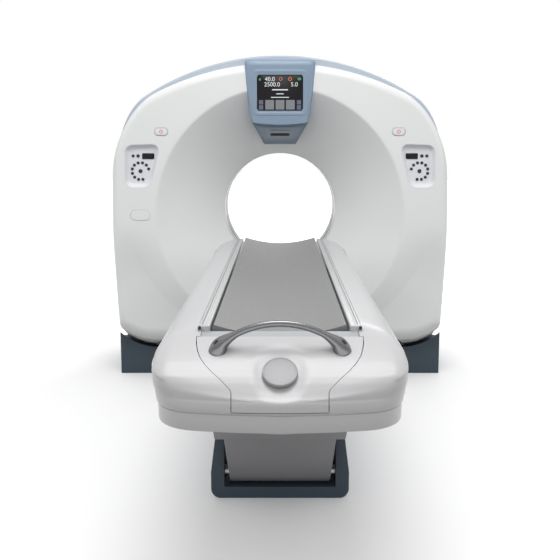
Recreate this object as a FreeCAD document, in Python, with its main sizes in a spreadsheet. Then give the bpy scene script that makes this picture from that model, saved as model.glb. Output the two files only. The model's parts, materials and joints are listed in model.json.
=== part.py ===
import FreeCAD, Part
import math
import os
import re
import Sketcher

# A computed tomography scanner: a ring-shaped gantry that tilts between two
# side stands, and a patient table that lifts on parallel legs and slides a
# long concave cradle through the ring. Millimetres, +Z up, the foot end at -Y.

DIMENSIONS = {
    # gantry: centre of rotation, outer sizes, and the funnels round the ring
    "iso_height": 1020, "iso_depth": 1360, "gantry_half_depth": 505,
    "gantry_half_width": 1010, "cover_wall": 7, "bore_radius": 350,
    "tunnel_half": 170, "front_funnel": 730, "rear_funnel": 660,
    "roof_rise": 873, "trim_rise": 46, "corner_half_width": 962,
    "corner_rise": 563, "side_half_width": 972, "corner_radius": 220,
    "edge_round": 42, "trim_half_depth": 440,
    # controls on the gantry's face
    "pod_depth": 26, "key_ring": 50, "key_radius": 9, "button_travel": 4,
    "bezel_front": 522, "bezel_fold": 520, "bezel_low": 405,
    # the surface swept by the covers' lower edge about the tilt axis
    "sweep_radius": 900, "sweep_flat": 760, "sweep_side": 792,
    "sweep_end": 1010, "swing_gap": 22,
    # floor base, stands and trunnions
    "base_half_width": 999, "base_half_depth": 356, "base_height": 262,
    "stand_inner": 905, "stand_outer": 955, "stand_half_depth": 60,
    "stand_head": 110, "trunnion_radius": 45, "bush_radius": 62,
    "anchor_radius": 9,
    # tilting frame and rotating ring
    "frame_outer": 840, "frame_inner": 560, "race_split": 500,
    "race_gap": 0.3, "rotor_bore": 420, "rotor_radius": 780,
    "ring_back": 30, "ring_end": 90, "drum_front": 60, "payload_front": 230,
    "tube_orbit": 640, "tube_radius": 105,
    # patient table
    "nose": -1865, "head": 775, "bed_height": 877, "band_floor": 615,
    "band_top": 669, "bed_half_width": 377, "skirt_half_width": 364,
    "shell_wall": 7, "strip_inner": 213, "strip_outer": 240,
    "slot_start": -1660, "cradle_half_width": 205, "cradle_start": -1620,
    "cradle_tip": 850, "cradle_dip": 34, "cradle_thick": 28,
    "deck_floor": 722, "deck_top": 746, "deck_half_width": 256,
    "deck_start": -1560, "deck_end": 490, "support_floor": 762,
    "support_top": 790, "support_tip": 350, "handle_sweep": 279,
    "handle_radius": 10, "handle_top": 902, "handle_y": -1725,
    # lift linkage: two parallel legs between the table base and the deck
    "front_pivot": -830, "front_pivot_height": 95, "pivot_step": 420,
    "pivot_rise": 60, "leg_length": 800, "leg_angle": 41.5,
    "leg_half_width": 205, "leg_half_thick": 45, "leg_wall": 7,
    "arm_inner": 208, "arm_outer": 224, "arm_half_height": 28,
    "shaft_radius": 22, "rear_shaft_radius": 16, "pivot_gap": 0.3,
    "base_front": -892, "base_back": 150, "cheek_height": 245,
    "cheek_inner": 226, "cheek_outer": 280, "plate_height": 47,
}

doc = FreeCAD.newDocument("ct_scanner")
sheet = doc.addObject("Spreadsheet::Sheet", "dims")
for row, (alias, number) in enumerate(DIMENSIONS.items(), start=1):
    sheet.set("A%d" % row, alias)
    sheet.set("B%d" % row, str(number))
    sheet.setAlias("B%d" % row, alias)
doc.recompute()

WORD = re.compile(r"[A-Za-z_]\w+")
FUNCTIONS = {"sin", "cos", "sqrt", "abs"}
X_AXIS = FreeCAD.Vector(1, 0, 0)
Y_AXIS = FreeCAD.Vector(0, 1, 0)
ALONG_X = FreeCAD.Rotation(Y_AXIS, 90)
ALONG_Y = FreeCAD.Rotation(X_AXIS, -90)
UPRIGHT = FreeCAD.Rotation()
nodes = []


def bound(expression):
    """The expression with each dimension's name pointing at its cell."""
    def cell(match):
        word = match.group(0)
        return word if word in FUNCTIONS else "dims." + word
    return WORD.sub(cell, str(expression))


def value(expression):
    """The number that an expression of dimensions gives."""
    return float(sheet.evalExpression(bound(expression)))


def bind(thing, **sizes):
    """Bind properties to expressions; a double underscore stands for a dot."""
    for name, expression in sizes.items():
        thing.setExpression(name.replace("__", "."), bound(expression))


def place(thing, x=0, y=0, z=0, turn=UPRIGHT):
    thing.Placement = FreeCAD.Placement(FreeCAD.Vector(), turn)
    bind(thing, Placement__Base__x=x, Placement__Base__y=y, Placement__Base__z=z)
    return thing


def keep(thing, label):
    """Mark a finished sub-part: its label names its file."""
    thing.Label = label
    nodes.append(thing)
    return thing


def at_iso(thing, label):
    """Finish a sub-part that was made about the centre of rotation."""
    return keep(place(group(thing), 0, "iso_depth", "iso_height"), label)


# ---- primitives ---------------------------------------------------------

def box(x_low, x_high, y_low, y_high, z_low, z_high):
    solid = doc.addObject("Part::Box", "box")
    bind(solid, Length="(%s) - (%s)" % (x_high, x_low),
         Width="(%s) - (%s)" % (y_high, y_low),
         Height="(%s) - (%s)" % (z_high, z_low))
    return place(solid, x_low, y_low, z_low)


def rod(radius, start, end, x=0, y=0, z=0, turn=ALONG_Y):
    """A cylinder from start to end along Y, X or Z, about a line."""
    solid = doc.addObject("Part::Cylinder", "rod")
    bind(solid, Radius=radius, Height="(%s) - (%s)" % (end, start))
    if turn is ALONG_X:
        x = start
    elif turn is ALONG_Y:
        y = start
    else:
        z = start
    return place(solid, x, y, z, turn)


def cut(base, *tools):
    for tool in tools:
        result = doc.addObject("Part::Cut", "cut")
        result.Base = base
        result.Tool = tool
        base = result
    return base


def join(*solids):
    result = doc.addObject("Part::MultiFuse", "join")
    result.Shapes = list(solids)
    result.Refine = True
    return result


def group(*solids):
    result = doc.addObject("Part::Compound", "group")
    result.Links = list(solids)
    return result


def overlap(*solids):
    result = doc.addObject("Part::MultiCommon", "overlap")
    result.Shapes = list(solids)
    return result


def ring(outer, inner, start, end):
    """A flat ring about the Y axis."""
    return cut(rod(outer, start, end), rod(inner, "%s - 1" % start, "%s + 1" % end))


# ---- sketched solids ----------------------------------------------------

def mirrored(half, top=None, bottom=None):
    """A closed outline from its right half, listed upwards.

    Each point is (u, v) or (u, v, r): r is the radius of the arc to the next
    point, positive when the arc's centre lies to the left of the way along.
    """
    right = [tuple(point) for point in half]
    left = []
    radii = [point[2] if len(point) > 2 else None for point in right]
    for index in range(len(right) - 1, -1, -1):
        u, v = right[index][:2]
        radius = radii[index - 1] if index else bottom
        left.append(("-(%s)" % u, v, radius))
    right[-1] = (right[-1][0], right[-1][1], top)
    return right + left


def middle_of_arc(start, end, radius):
    chord = end - start
    half = chord.Length / 2
    sagitta = abs(radius) - math.sqrt(max(radius * radius - half * half, 0))
    right_hand = FreeCAD.Vector(chord.y, -chord.x, 0).normalize()
    return (start + end) * 0.5 + right_hand * math.copysign(sagitta, radius)


def draw(sketch, loop):
    """Draw a closed outline, its corners and radii tied to the dimensions."""
    corners = [FreeCAD.Vector(value(point[0]), value(point[1]), 0) for point in loop]
    first = sketch.GeometryCount
    count = len(loop)
    for index, point in enumerate(loop):
        start = corners[index]
        end = corners[(index + 1) % count]
        radius = point[2] if len(point) > 2 else None
        if radius is None:
            sketch.addGeometry(Part.LineSegment(start, end))
        else:
            middle = middle_of_arc(start, end, value(radius))
            sketch.addGeometry(Part.Arc(start, middle, end))
    for index, point in enumerate(loop):
        radius = point[2] if len(point) > 2 else None
        if radius is not None:
            at = sketch.addConstraint(
                Sketcher.Constraint("Radius", first + index, abs(value(radius))))
            sketch.setExpression("Constraints[%d]" % at, bound("abs(%s)" % radius))
    ends = [start_and_end(sketch, first + index, corners[index]) for index in range(count)]
    for index, point in enumerate(loop):
        here = first + index
        before = first + (index - 1) % count
        sketch.addConstraint(Sketcher.Constraint(
            "Coincident", before, ends[(index - 1) % count][1], here, ends[index][0]))
        for kind, axis, size in (("DistanceX", -2, point[0]), ("DistanceY", -1, point[1])):
            if abs(value(size)) < 1e-9:
                sketch.addConstraint(
                    Sketcher.Constraint("PointOnObject", here, ends[index][0], axis))
                continue
            at = sketch.addConstraint(Sketcher.Constraint(
                kind, -1, 1, here, ends[index][0], value(size)))
            sketch.setExpression("Constraints[%d]" % at, bound(size))


def start_and_end(sketch, index, corner):
    """Which ends of a line or arc are its start and end on the way along."""
    start = sketch.getPoint(index, 1)
    return (1, 2) if start.distanceToPoint(corner) < 1e-6 else (2, 1)


def sketched(body, plane, loops, offset=0):
    sketch = body.newObject("Sketcher::SketchObject", "sketch")
    for feature in body.Origin.OriginFeatures:
        if feature.Role == plane:
            sketch.AttachmentSupport = (feature, [""])
    sketch.MapMode = "FlatFace"
    sign = "-" if plane == "XZ_Plane" else ""
    bind(sketch, AttachmentOffset__Base__z="%s(%s)" % (sign, offset))
    for loop in loops:
        draw(sketch, loop)
    return sketch


def prism(plane, loops, start, end, rounds=()):
    """A padded outline: XZ runs along +Y, YZ along +X and XY along +Z.

    rounds lists (test, radius): the edges that pass each test are rounded.
    """
    body = doc.addObject("PartDesign::Body", "prism")
    feature = body.newObject("PartDesign::Pad", "pad")
    feature.Profile = sketched(body, plane, loops, start)
    feature.Reversed = plane == "XZ_Plane"
    bind(feature, Length="(%s) - (%s)" % (end, start))
    for test, radius in rounds:
        doc.recompute()
        edges = ["Edge%d" % (index + 1) for index, edge in enumerate(feature.Shape.Edges)
                 if test(edge)]
        fillet = body.newObject("PartDesign::Fillet", "fillet")
        fillet.Base = (feature, edges)
        bind(fillet, Radius=radius)
        feature = fillet
    body.Tip = feature
    return body


def turned(plane, loop):
    """An outline turned a full circle about its sketch's level axis."""
    body = doc.addObject("PartDesign::Body", "turned")
    sketch = sketched(body, plane, [loop])
    turn = body.newObject("PartDesign::Revolution", "turn")
    turn.Profile = sketch
    turn.ReferenceAxis = (sketch, ["H_Axis"])
    turn.Angle = 360
    return body


def lies_along(direction):
    """A test for straight edges that run along a direction."""
    def test(edge):
        way = edge.Vertexes[-1].Point - edge.Vertexes[0].Point
        return way.Length > 0 and abs(abs(way.normalize().dot(direction)) - 1) < 1e-6
    return test


def upper_corner(edge):
    """Edges along Y where the gantry's side meets its roof."""
    return lies_along(Y_AXIS)(edge) and edge.Vertexes[0].Point.z > value("corner_rise - 50")


def oval(x, z, width, height):
    """A slot-shaped outline with round ends, a hair flatter than half circles."""
    flat = "(%s - %s) / 2" % (width, height)
    half = "%s / 2" % height
    end_radius = "%s * 0.50003" % height
    return [("%s - %s" % (x, flat), "%s - %s" % (z, half)),
            ("%s + %s" % (x, flat), "%s - %s" % (z, half), end_radius),
            ("%s + %s" % (x, flat), "%s + %s" % (z, half)),
            ("%s - %s" % (x, flat), "%s + %s" % (z, half), end_radius)]


# ---- gantry covers ------------------------------------------------------

def gantry_outline(inset):
    """The gantry's outline seen from the front, about the centre of rotation."""
    low = "-(sweep_radius + 20)"
    bow = "gantry_half_width - side_half_width"
    half_side = "(corner_rise + sweep_radius + 20) / 2"
    side_radius = "((%s)^2 + (%s)^2) / (2 * (%s))" % (half_side, bow, bow)
    rise = "roof_rise - corner_rise"
    roof_radius = "(corner_half_width^2 + (%s)^2) / (2 * (%s))" % (rise, rise)
    half = [("side_half_width - %s" % inset, low, side_radius),
            ("corner_half_width - %s" % inset, "corner_rise - 0.7 * %s" % inset)]
    return mirrored(half, top=roof_radius)


def sweep(gap):
    """The round space that the covers' lower edge sweeps about the tilt axis."""
    side = "sweep_side + %s" % gap
    flat = "sweep_radius + %s" % gap
    far = "sweep_end + 90"
    loop = [("-(%s)" % far, 0), ("-(%s)" % far, "%s - 30" % side),
            ("-(sweep_end + %s / 2)" % gap, side, -360), ("-sweep_flat", flat),
            ("sweep_flat", flat, -360), ("sweep_end + %s / 2" % gap, side),
            (far, "%s - 30" % side), (far, 0)]
    return turned("XZ_Plane", loop)


def funnel(side, radius, wall):
    """The flared void round the ring, wall larger for the skin's back."""
    face = "%s(gantry_half_depth)" % side
    past = "%s(gantry_half_depth + 30)" % side
    lip = "%s(tunnel_half)" % side
    inner = "bore_radius + %s" % wall
    loop = [(past, 0), (past, "%s + %s" % (radius, wall)), (face, "%s + %s" % (radius, wall)),
            (lip, inner)]
    if wall == 0:
        loop += [("0", inner), ("0", 0)]
    else:
        loop += [(lip, 0)]
    return turned("YZ_Plane", loop)


below_iso = box("-1300", "1300", "-700", "700", "-1300", 0)
below_sweep = cut(below_iso, sweep(0))


def on_face(depth):
    """Edges of the gantry's front or back rim, apart from its open foot."""
    def test(edge):
        on_plane = all(abs(vertex.Point.y - depth) < 1e-3 for vertex in edge.Vertexes)
        return on_plane and max(vertex.Point.z for vertex in edge.Vertexes) > 0
    return test


def cover_block(side, inset, round_radius):
    """One half of the gantry's rounded block, solid."""
    depth = "gantry_half_depth - %s" % inset
    start, end = ("-(%s)" % depth, "0") if side == "-" else ("0", depth)
    face = value("%s(%s)" % (side, depth))
    return prism("XZ_Plane", [gantry_outline(inset)], start, end,
                 [(upper_corner, "corner_radius - %s" % inset), (on_face(face), round_radius)])


def cover(side, radius):
    """A thin half cover with its funnel, trimmed to the tilt sweep below.

    Gives the solid block, the block with its funnel, and the thin cover.
    """
    block = cover_block(side, "0", "edge_round")
    outer = cut(block, funnel(side, radius, 0))
    inner = cut(cover_block(side, "cover_wall", "edge_round - cover_wall"),
                funnel(side, radius, 9))
    return block, outer, cut(outer, inner, below_sweep)


POD_CORNERS = [(918, 150), (915, 402), (700, 408), (765, 148)]


def pod_outline(side, inset):
    """The leaning rounded window of a control pod."""
    centre_u, centre_v = 825, 277
    loop = []
    for u, v in POD_CORNERS:
        shrink_u = inset if u > centre_u else -inset
        shrink_v = inset if v > centre_v else -inset
        loop.append((side * (u - shrink_u), v - shrink_v))
    return loop


def pod_prism(side, inset, start, end):
    return prism("XZ_Plane", [pod_outline(side, inset)], start, end,
                 [(lies_along(Y_AXIS), "48 - %s" % inset)])


BUTTON_X, BUTTON_Z = 695, 477
PLATE_X, PLATE_Z = -830, -13
front_block, front_outer, front_skin = cover("-", "front_funnel")
rear_block, rear_outer, rear_skin = cover("+", "rear_funnel")

windows = []
for side in (-1, 1):
    windows.append(pod_prism(side, 0, "-(gantry_half_depth + 9)", "-(gantry_half_depth - 20)"))
    windows.append(prism("XZ_Plane", [oval(side * BUTTON_X, BUTTON_Z, 80, 48)],
                         "-(gantry_half_depth + 9)", "-(gantry_half_depth - 20)"))
windows.append(prism("XZ_Plane", [oval(PLATE_X, PLATE_Z, 116, 62)],
                     "-(gantry_half_depth + 9)", "-(gantry_half_depth - 20)"))
at_iso(cut(front_skin, *windows), "front_cover")
at_iso(rear_skin, "rear_cover")

plate = prism("XZ_Plane", [oval(PLATE_X, PLATE_Z, 116, 62)],
              "-gantry_half_depth", "-(gantry_half_depth - cover_wall)")
at_iso(plate, "access_plate")


def trim_outline():
    """The raised roof band, from shoulder to shoulder."""
    rise = "roof_rise + trim_rise - corner_rise"
    radius = "(corner_half_width^2 + (%s)^2) / (2 * (%s))" % (rise, rise)
    half = [("corner_half_width", "corner_rise - 160"), ("corner_half_width", "corner_rise")]
    return mirrored(half, top=radius)


roof = prism("XZ_Plane", [trim_outline()], "-trim_half_depth", "trim_half_depth",
             [(upper_corner, "corner_radius - 60")])
at_iso(cut(roof, front_block, rear_block), "roof_trim")


# ---- display, pods and buttons ------------------------------------------

def bezel_block():
    """The display housing: upright above, folding back into the funnel."""
    front = "-bezel_front"
    profile = [(front, 900), (front, "bezel_fold"), ("-245", "bezel_low"),
               ("-150", "bezel_low"), ("-150", 900)]
    side_view = prism("YZ_Plane", [profile], "-260", "260")
    half = [("98", "bezel_low - 1"), ("168", 530, 900), ("190", 690, 1500), ("205", 852)]
    front_view = prism("XZ_Plane", [mirrored(half)], "-bezel_front - 5", "-100")
    return cut(overlap(side_view, front_view), front_outer)


screen = box(-133, 133, "-bezel_front - 2", "-bezel_front + 9", 597, 800)
at_iso(screen, "display_screen")
bezel = bezel_block()
fold_line = "bezel_fold + 12"
upper = cut(bezel, box(-300, 300, -600, 0, 300, fold_line), screen)
at_iso(upper, "display_bezel")
chin_slot = box(-57, 57, "-600", "-395", 455, 472)
at_iso(cut(bezel, box(-300, 300, -600, 0, fold_line, 950), chin_slot), "bezel_chin")

face = "-gantry_half_depth"
pod_floor = "-(gantry_half_depth - pod_depth)"
RING_X, RING_Z = 826, 247
trays, keys, displays, switches = [], [], [], []
for side, word in ((-1, "left"), (1, "right")):
    trays.append(cut(pod_prism(side, 0, face, pod_floor + " + 6"),
                     pod_prism(side, 8, face + " - 1", pod_floor)))
    keys.append(rod(12, pod_floor + " - 4", pod_floor, x=side * RING_X, z=RING_Z))
    for step in range(10):
        angle = math.radians(15 + 30 * step)
        keys.append(rod("key_radius", pod_floor + " - 4", pod_floor,
                        x="%d + key_ring * %.4f" % (side * RING_X, -side * math.cos(angle)),
                        z="%d + key_ring * %.4f" % (RING_Z, math.sin(angle))))
    for key_x in (867, 838):
        keys.append(rod(10, pod_floor + " - 4", pod_floor, x=side * key_x, z=336))
    low, high = sorted((side * 742, side * 814))
    displays.append(box(low, high, pod_floor + " - 5", pod_floor, 318, 352))
    button = prism("XZ_Plane", [oval(side * BUTTON_X, BUTTON_Z, 78, 46)],
                   face + " - 3", face + " + 15")
    at_iso(button, "stop_button_" + word)
    switches.append(box(side * BUTTON_X - 20, side * BUTTON_X + 20,
                        face + " + 15.5 + button_travel", face + " + 50",
                        BUTTON_Z - 18, BUTTON_Z + 18))
at_iso(group(*trays), "pod_trays")
at_iso(group(*keys), "pod_keys")
at_iso(group(*displays), "pod_displays")
at_iso(group(*switches), "stop_switches")


# ---- tunnel, tilting frame and its bearings -----------------------------

at_iso(ring("bore_radius + 5", "bore_radius", "-tunnel_half", "-25"), "front_liner")
at_iso(ring("bore_radius + 4", "bore_radius + 1", "-25", "25"), "scan_window")
at_iso(ring("bore_radius + 5", "bore_radius", "25", "tunnel_half"), "rear_liner")

BOSS_INNER, BOSS_OUTER = 806, 892
frame_plate = ring("frame_outer", "frame_inner", "ring_back", "ring_end")
bosses = []
pins = []
for side in (-1, 1):
    low, high = sorted((side * BOSS_INNER, side * BOSS_OUTER))
    bosses.append(box(low, high, -55, "ring_end", -95, 95))
    low, high = ((str(BOSS_OUTER), "stand_outer") if side > 0
                 else ("-stand_outer", str(-BOSS_OUTER)))
    pins.append(rod("trunnion_radius", low, high, turn=ALONG_X))
at_iso(join(frame_plate, *bosses, *pins), "tilt_frame")
at_iso(ring("frame_inner", "race_split", "ring_back", "ring_end"), "main_bearing_race")
at_iso(cut(ring("frame_outer - 5", "rotor_radius + 21", -50, "ring_back"),
           box(-900, -789, -56, 90, -96, 96), box(789, 900, -56, 90, -96, 96)),
       "drive_stator")
at_iso(box(-60, 60, "ring_end", "ring_end + 45", -590, -505), "brush_block")

base_block = cut(box("-base_half_width", "base_half_width", "-base_half_depth",
                     "base_half_depth", "-iso_height", "base_height - iso_height"),
                 sweep("swing_gap"))
bushes = []
for side, word in ((-1, "left"), (1, "right")):
    low, high = ("stand_inner", "stand_outer") if side > 0 else ("-stand_outer", "-stand_inner")
    column = box(low, high, "-stand_half_depth", "stand_half_depth", "-iso_height + 40", 0)
    head = rod("stand_head", low, high, turn=ALONG_X)
    hole = rod("bush_radius", low + " - 1", high + " + 1", turn=ALONG_X)
    at_iso(cut(join(column, head), hole, base_block), "stand_" + word)
    bushes.append(cut(rod("bush_radius", low, high, turn=ALONG_X),
                      rod("trunnion_radius + pivot_gap", low + " - 1", high + " + 1",
                          turn=ALONG_X)))
at_iso(group(*bushes), "trunnion_bushes")
anchors = [rod("anchor_radius", "-iso_height - 1", 0, x=x, y=y, turn=UPRIGHT)
           for x in (-700, 700) for y in (-280, 280)]
at_iso(cut(base_block, *anchors), "gantry_base")


# ---- rotating ring ------------------------------------------------------

drum = join(ring("rotor_radius", "rotor_bore", "-drum_front", "-ring_back"),
            ring("rotor_bore + 40", "rotor_bore", "-ring_back", "ring_back"))
at_iso(drum, "rotor_drum")
at_iso(ring("race_split - race_gap", "rotor_bore", "ring_back", "ring_end"), "rotor_race")
at_iso(ring("rotor_radius + 20", "rotor_radius", -50, "-ring_back"), "drive_magnet_ring")
at_iso(ring(490, 430, "ring_end", "ring_end + 30"), "slip_ring")

front = "-payload_front"
back = "-drum_front"
at_iso(join(rod("tube_radius", front, back, z="tube_orbit"),
            rod(46, front, back, x=-130, z="tube_orbit - 8")), "xray_tube")
at_iso(box(-88, 88, -200, back, 468, "tube_orbit - tube_radius - 3"), "tube_collimator")


def wedge(outer, inner, middle, span, start, end):
    """Part of a ring, span degrees wide, about an angle up from +X."""
    sector = doc.addObject("Part::Cylinder", "sector")
    bind(sector, Radius=outer, Height="(%s) - (%s)" % (end, start))
    sector.Angle = span
    spin = FreeCAD.Rotation(Y_AXIS, -(middle - span / 2)).multiply(
        FreeCAD.Rotation(X_AXIS, 90))
    place(sector, 0, end, 0, spin)
    return cut(sector, rod(inner, start + " - 1", end + " + 1"))


at_iso(wedge(640, 570, -90, 58, "-180", back), "detector_arc")
at_iso(wedge(735, 641, -90, 50, "-200", back), "data_unit")
at_iso(wedge(750, 600, 142, 34, "-200", back), "counterweight")
at_iso(wedge(750, 600, 38, 34, "-200", back), "tube_cooler")
at_iso(box(-735, -540, "-220", back, -170, 120), "voltage_generator")
at_iso(box(540, 735, "-220", back, -170, 120), "power_inverter")


# ---- table base and lift legs -------------------------------------------

rear_y = "front_pivot + pivot_step"
rear_z = "front_pivot_height + pivot_rise"
top_y = "front_pivot - leg_length * cos(leg_angle)"
top_z = "front_pivot_height + leg_length * sin(leg_angle)"

half_trough = [("cheek_outer - 34", 0, 40), ("cheek_outer", 40), ("cheek_outer", 110),
               ("cheek_outer - 17", "cheek_height"), ("cheek_inner", "cheek_height"),
               ("cheek_inner", "plate_height")]
trough = prism("XZ_Plane", [mirrored(half_trough)], "base_front", "base_back")
slope = prism("YZ_Plane", [[(-300, "cheek_height + 5"), ("base_back + 5", 120),
                            ("base_back + 5", "cheek_height + 5")]], -400, 400)
floor_holes = [rod("anchor_radius", -1, 60, x=x, y=y, turn=UPRIGHT)
               for x in (-160, 160) for y in (-480, 60)]
front_shaft = rod("shaft_radius", "-(cheek_outer - 12)", "cheek_outer - 12",
                  y="front_pivot", z="front_pivot_height", turn=ALONG_X)
rear_shaft = rod("rear_shaft_radius", "-(cheek_outer - 12)", "cheek_outer - 12",
                 y=rear_y, z=rear_z, turn=ALONG_X)
keep(cut(trough, slope, front_shaft, rear_shaft, *floor_holes), "table_base")
keep(group(front_shaft), "front_lift_shaft")
keep(group(rear_shaft), "rear_lift_shaft")
keep(box(-140, 140, "base_back", "iso_depth - base_half_depth", 0, 38), "cable_duct")
keep(join(box(-150, 60, -770, -570, "plate_height", 185),
          rod(55, 40, 190, y=-670, z=116, turn=ALONG_X)), "lift_gearmotor")


def leg_turn(thing):
    """Lean a leg, drawn level towards the foot end, to its rest angle."""
    thing.Placement = FreeCAD.Placement(FreeCAD.Vector(), FreeCAD.Rotation(X_AXIS, -41.5))
    bind(thing, Placement__Rotation__Angle="-leg_angle")


beam = join(box("-leg_half_width", "leg_half_width", "-leg_length", 0,
                "-leg_half_thick", "leg_half_thick"),
            rod("leg_half_thick", "-leg_half_width", "leg_half_width", turn=ALONG_X),
            rod("leg_half_thick", "-leg_half_width", "leg_half_width", y="-leg_length",
                turn=ALONG_X))
hollow = box("-leg_half_width + leg_wall", "leg_half_width - leg_wall", "-leg_length + 70",
             -70, "-leg_half_thick + leg_wall", "leg_half_thick - leg_wall")
bores = [rod("shaft_radius + pivot_gap", -300, 300, y=y, turn=ALONG_X)
         for y in (0, "-leg_length")]
front_leg = cut(beam, hollow, *bores)
sleeve = cut(box(-237, 237, "-leg_length + 60", -490, -62, 62),
             box("-leg_half_width", "leg_half_width", "-leg_length + 55", -480,
                 "-leg_half_thick", "leg_half_thick"))
for leg, label in ((front_leg, "front_leg"), (sleeve, "leg_sleeve")):
    keep(leg, label)
    leg_turn(leg)
    bind(leg, Placement__Base__y="front_pivot", Placement__Base__z="front_pivot_height")

for side, word in ((-1, "left"), (1, "right")):
    inner, outer = ("arm_inner", "arm_outer") if side > 0 else ("-arm_outer", "-arm_inner")
    pin_end = ("arm_inner", "248") if side > 0 else ("-248", "-arm_inner")
    arm = join(box(inner, outer, "-leg_length", 0, "-arm_half_height", "arm_half_height"),
               rod("arm_half_height + 6", inner, outer, turn=ALONG_X),
               rod("arm_half_height + 6", inner, outer, y="-leg_length", turn=ALONG_X),
               rod("rear_shaft_radius", pin_end[0], pin_end[1], y="-leg_length", turn=ALONG_X))
    arm = cut(arm, rod("rear_shaft_radius + pivot_gap", -300, 300, turn=ALONG_X))
    keep(arm, "rear_arm_" + word)
    leg_turn(arm)
    bind(arm, Placement__Base__y=rear_y, Placement__Base__z=rear_z)


# ---- table deck, rails, support and cradle -------------------------------

rear_top_y = "%s + pivot_step" % top_y
rear_top_z = "%s + pivot_rise" % top_z
parts = [box("-deck_half_width", "deck_half_width", "deck_start", "deck_end",
             "deck_floor", "deck_top")]
for side in (-1, 1):
    low, high = sorted((side * 240, side * 254))
    parts.append(box(low, high, top_y + " - 55", top_y + " + 55", top_z + " - 42",
                     "deck_floor + 5"))
    low, high = sorted((side * 228, side * 242))
    parts.append(box(low, high, rear_top_y + " - 45", rear_top_y + " + 45",
                     rear_top_z + " - 36", "deck_floor + 5"))
    for y in (-1450, -900, -300, 300):
        low, high = sorted((side * 250, side * 356))
        parts.append(box(low, high, y - 25, y + 25, "deck_floor", "deck_top"))
top_shaft = rod("shaft_radius", -254, 254, y=top_y, z=top_z, turn=ALONG_X)
pin_bore = rod("rear_shaft_radius + pivot_gap", -260, 260, y=rear_top_y, z=rear_top_z,
               turn=ALONG_X)
keep(cut(join(*parts), top_shaft, pin_bore), "table_frame")
keep(group(top_shaft), "top_lift_shaft")
keep(group(*[box(low, low + 30, "deck_start + 20", "deck_end - 20", "deck_top", "deck_top + 14")
             for low in (-150, 120)]), "slide_rails")
keep(box(-60, 60, -1540, -1430, "deck_top", "deck_top + 14"), "cradle_drive")

keep(box(-180, 180, "deck_start + 20", "support_tip", "support_floor", "support_top"),
     "support_slide")
rollers = [rod(12, -70, 70, y="support_tip - %d" % step, z="support_top + 12.2", turn=ALONG_X)
           for step in (20, 100, 180)]
keep(group(*rollers), "support_rollers")

dip_radius = "(cradle_half_width^2 + cradle_dip^2) / (2 * cradle_dip)"
cradle_loop = [("-cradle_half_width", "bed_height"),
               ("-cradle_half_width", "bed_height - cradle_thick", dip_radius),
               ("cradle_half_width", "bed_height - cradle_thick"),
               ("cradle_half_width", "bed_height", "-(%s)" % dip_radius)]
cradle = prism("XZ_Plane", [cradle_loop], "cradle_start", "cradle_tip")
keep(cradle, "cradle")
keep(cut(box(-110, 110, "cradle_start + 20", "cradle_start + 240", "support_top + 1",
             "support_top + 40"), cradle), "cradle_carriage")


# ---- table covers -------------------------------------------------------

def bed_plan(inset):
    """The table body from above: bowed nose, rounded corners."""
    half = [("265 - %s" % inset, "nose + 30 + %s" % inset, 150),
            ("352 - %s" % inset, "nose + 112 + 0.5 * %s" % inset, 400),
            ("bed_half_width - %s" % inset, "nose + 300"),
            ("bed_half_width - %s" % inset, "head - 60 - %s" % inset, 60),
            ("bed_half_width - 60 - %s" % inset, "head - %s" % inset)]
    return mirrored(half, bottom=1185)


def bed_profile(inset, floor):
    """The table body from the side: sloped nose, underside rising to the head."""
    return [("nose + %s" % inset, floor), (350, floor), (600, "%s + 190" % floor),
            ("head - %s" % inset, "%s + 205" % floor),
            ("head - %s" % inset, "bed_height - %s" % inset),
            ("nose + 275", "bed_height - %s" % inset, 380),
            ("nose + 205", "bed_height - 26 - %s" % inset, 420),
            ("nose + 66 + 0.6 * %s" % inset, "bed_height - 107 - 0.6 * %s" % inset, 250),
            ("nose + 6 + %s" % inset, "bed_height - 170 - 0.3 * %s" % inset),
            ("nose + %s" % inset, "band_top")]


def bed_section(inset, floor):
    """The table body from the foot end: flat top, sloping shoulders, skirts."""
    half = [("skirt_half_width - %s" % inset, floor),
            ("bed_half_width - %s" % inset, "bed_height - 97", 95),
            ("bed_half_width - 38 - %s" % inset, "bed_height - 24 - %s" % inset, 320),
            ("strip_outer + 12", "bed_height - %s" % inset)]
    return mirrored(half)


def bed_block(inset, floor):
    return overlap(prism("XY_Plane", [bed_plan(inset)], 500, 1000),
                   prism("YZ_Plane", [bed_profile(inset, floor)], -420, 420),
                   prism("XZ_Plane", [bed_section(inset, floor)], -1900, 900))


def seam(grow):
    """The foot shield's outline from above."""
    half = [("116 + %s" % grow, "nose - 40"), ("124 + %s" % grow, "nose + 10", 400),
            ("137 + %s" % grow, "nose + 27"), ("222 + %s" % grow, "nose + 80"),
            ("250 + %s" % grow, "slot_start + %s" % grow)]
    return prism("XY_Plane", [mirrored(half)], "band_top + 3 - %s" % grow, 1000)


skin = cut(bed_block(0, "band_floor"), bed_block("shell_wall", "band_floor - 40"))
slot = box("-strip_outer", "strip_outer", "slot_start", "head + 10", 700, 1000)
keep(cut(skin, slot, seam(1.5)), "table_cover")

badge = rod(51, -6, 9, turn=UPRIGHT)
badge.Placement = FreeCAD.Placement(FreeCAD.Vector(), FreeCAD.Rotation(X_AXIS, 37))
bind(badge, Placement__Base__y="nose + 78", Placement__Base__z="bed_height - 106")
feet = [rod(27, "bed_height - 75", "bed_height - 33", x=x, y="handle_y", turn=UPRIGHT)
        for x in (-178, 178)]
keep(group(*feet), "handle_feet")
keep(cut(overlap(skin, seam(0)), badge, *feet), "foot_shield")
keep(group(badge), "foot_badge")

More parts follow.
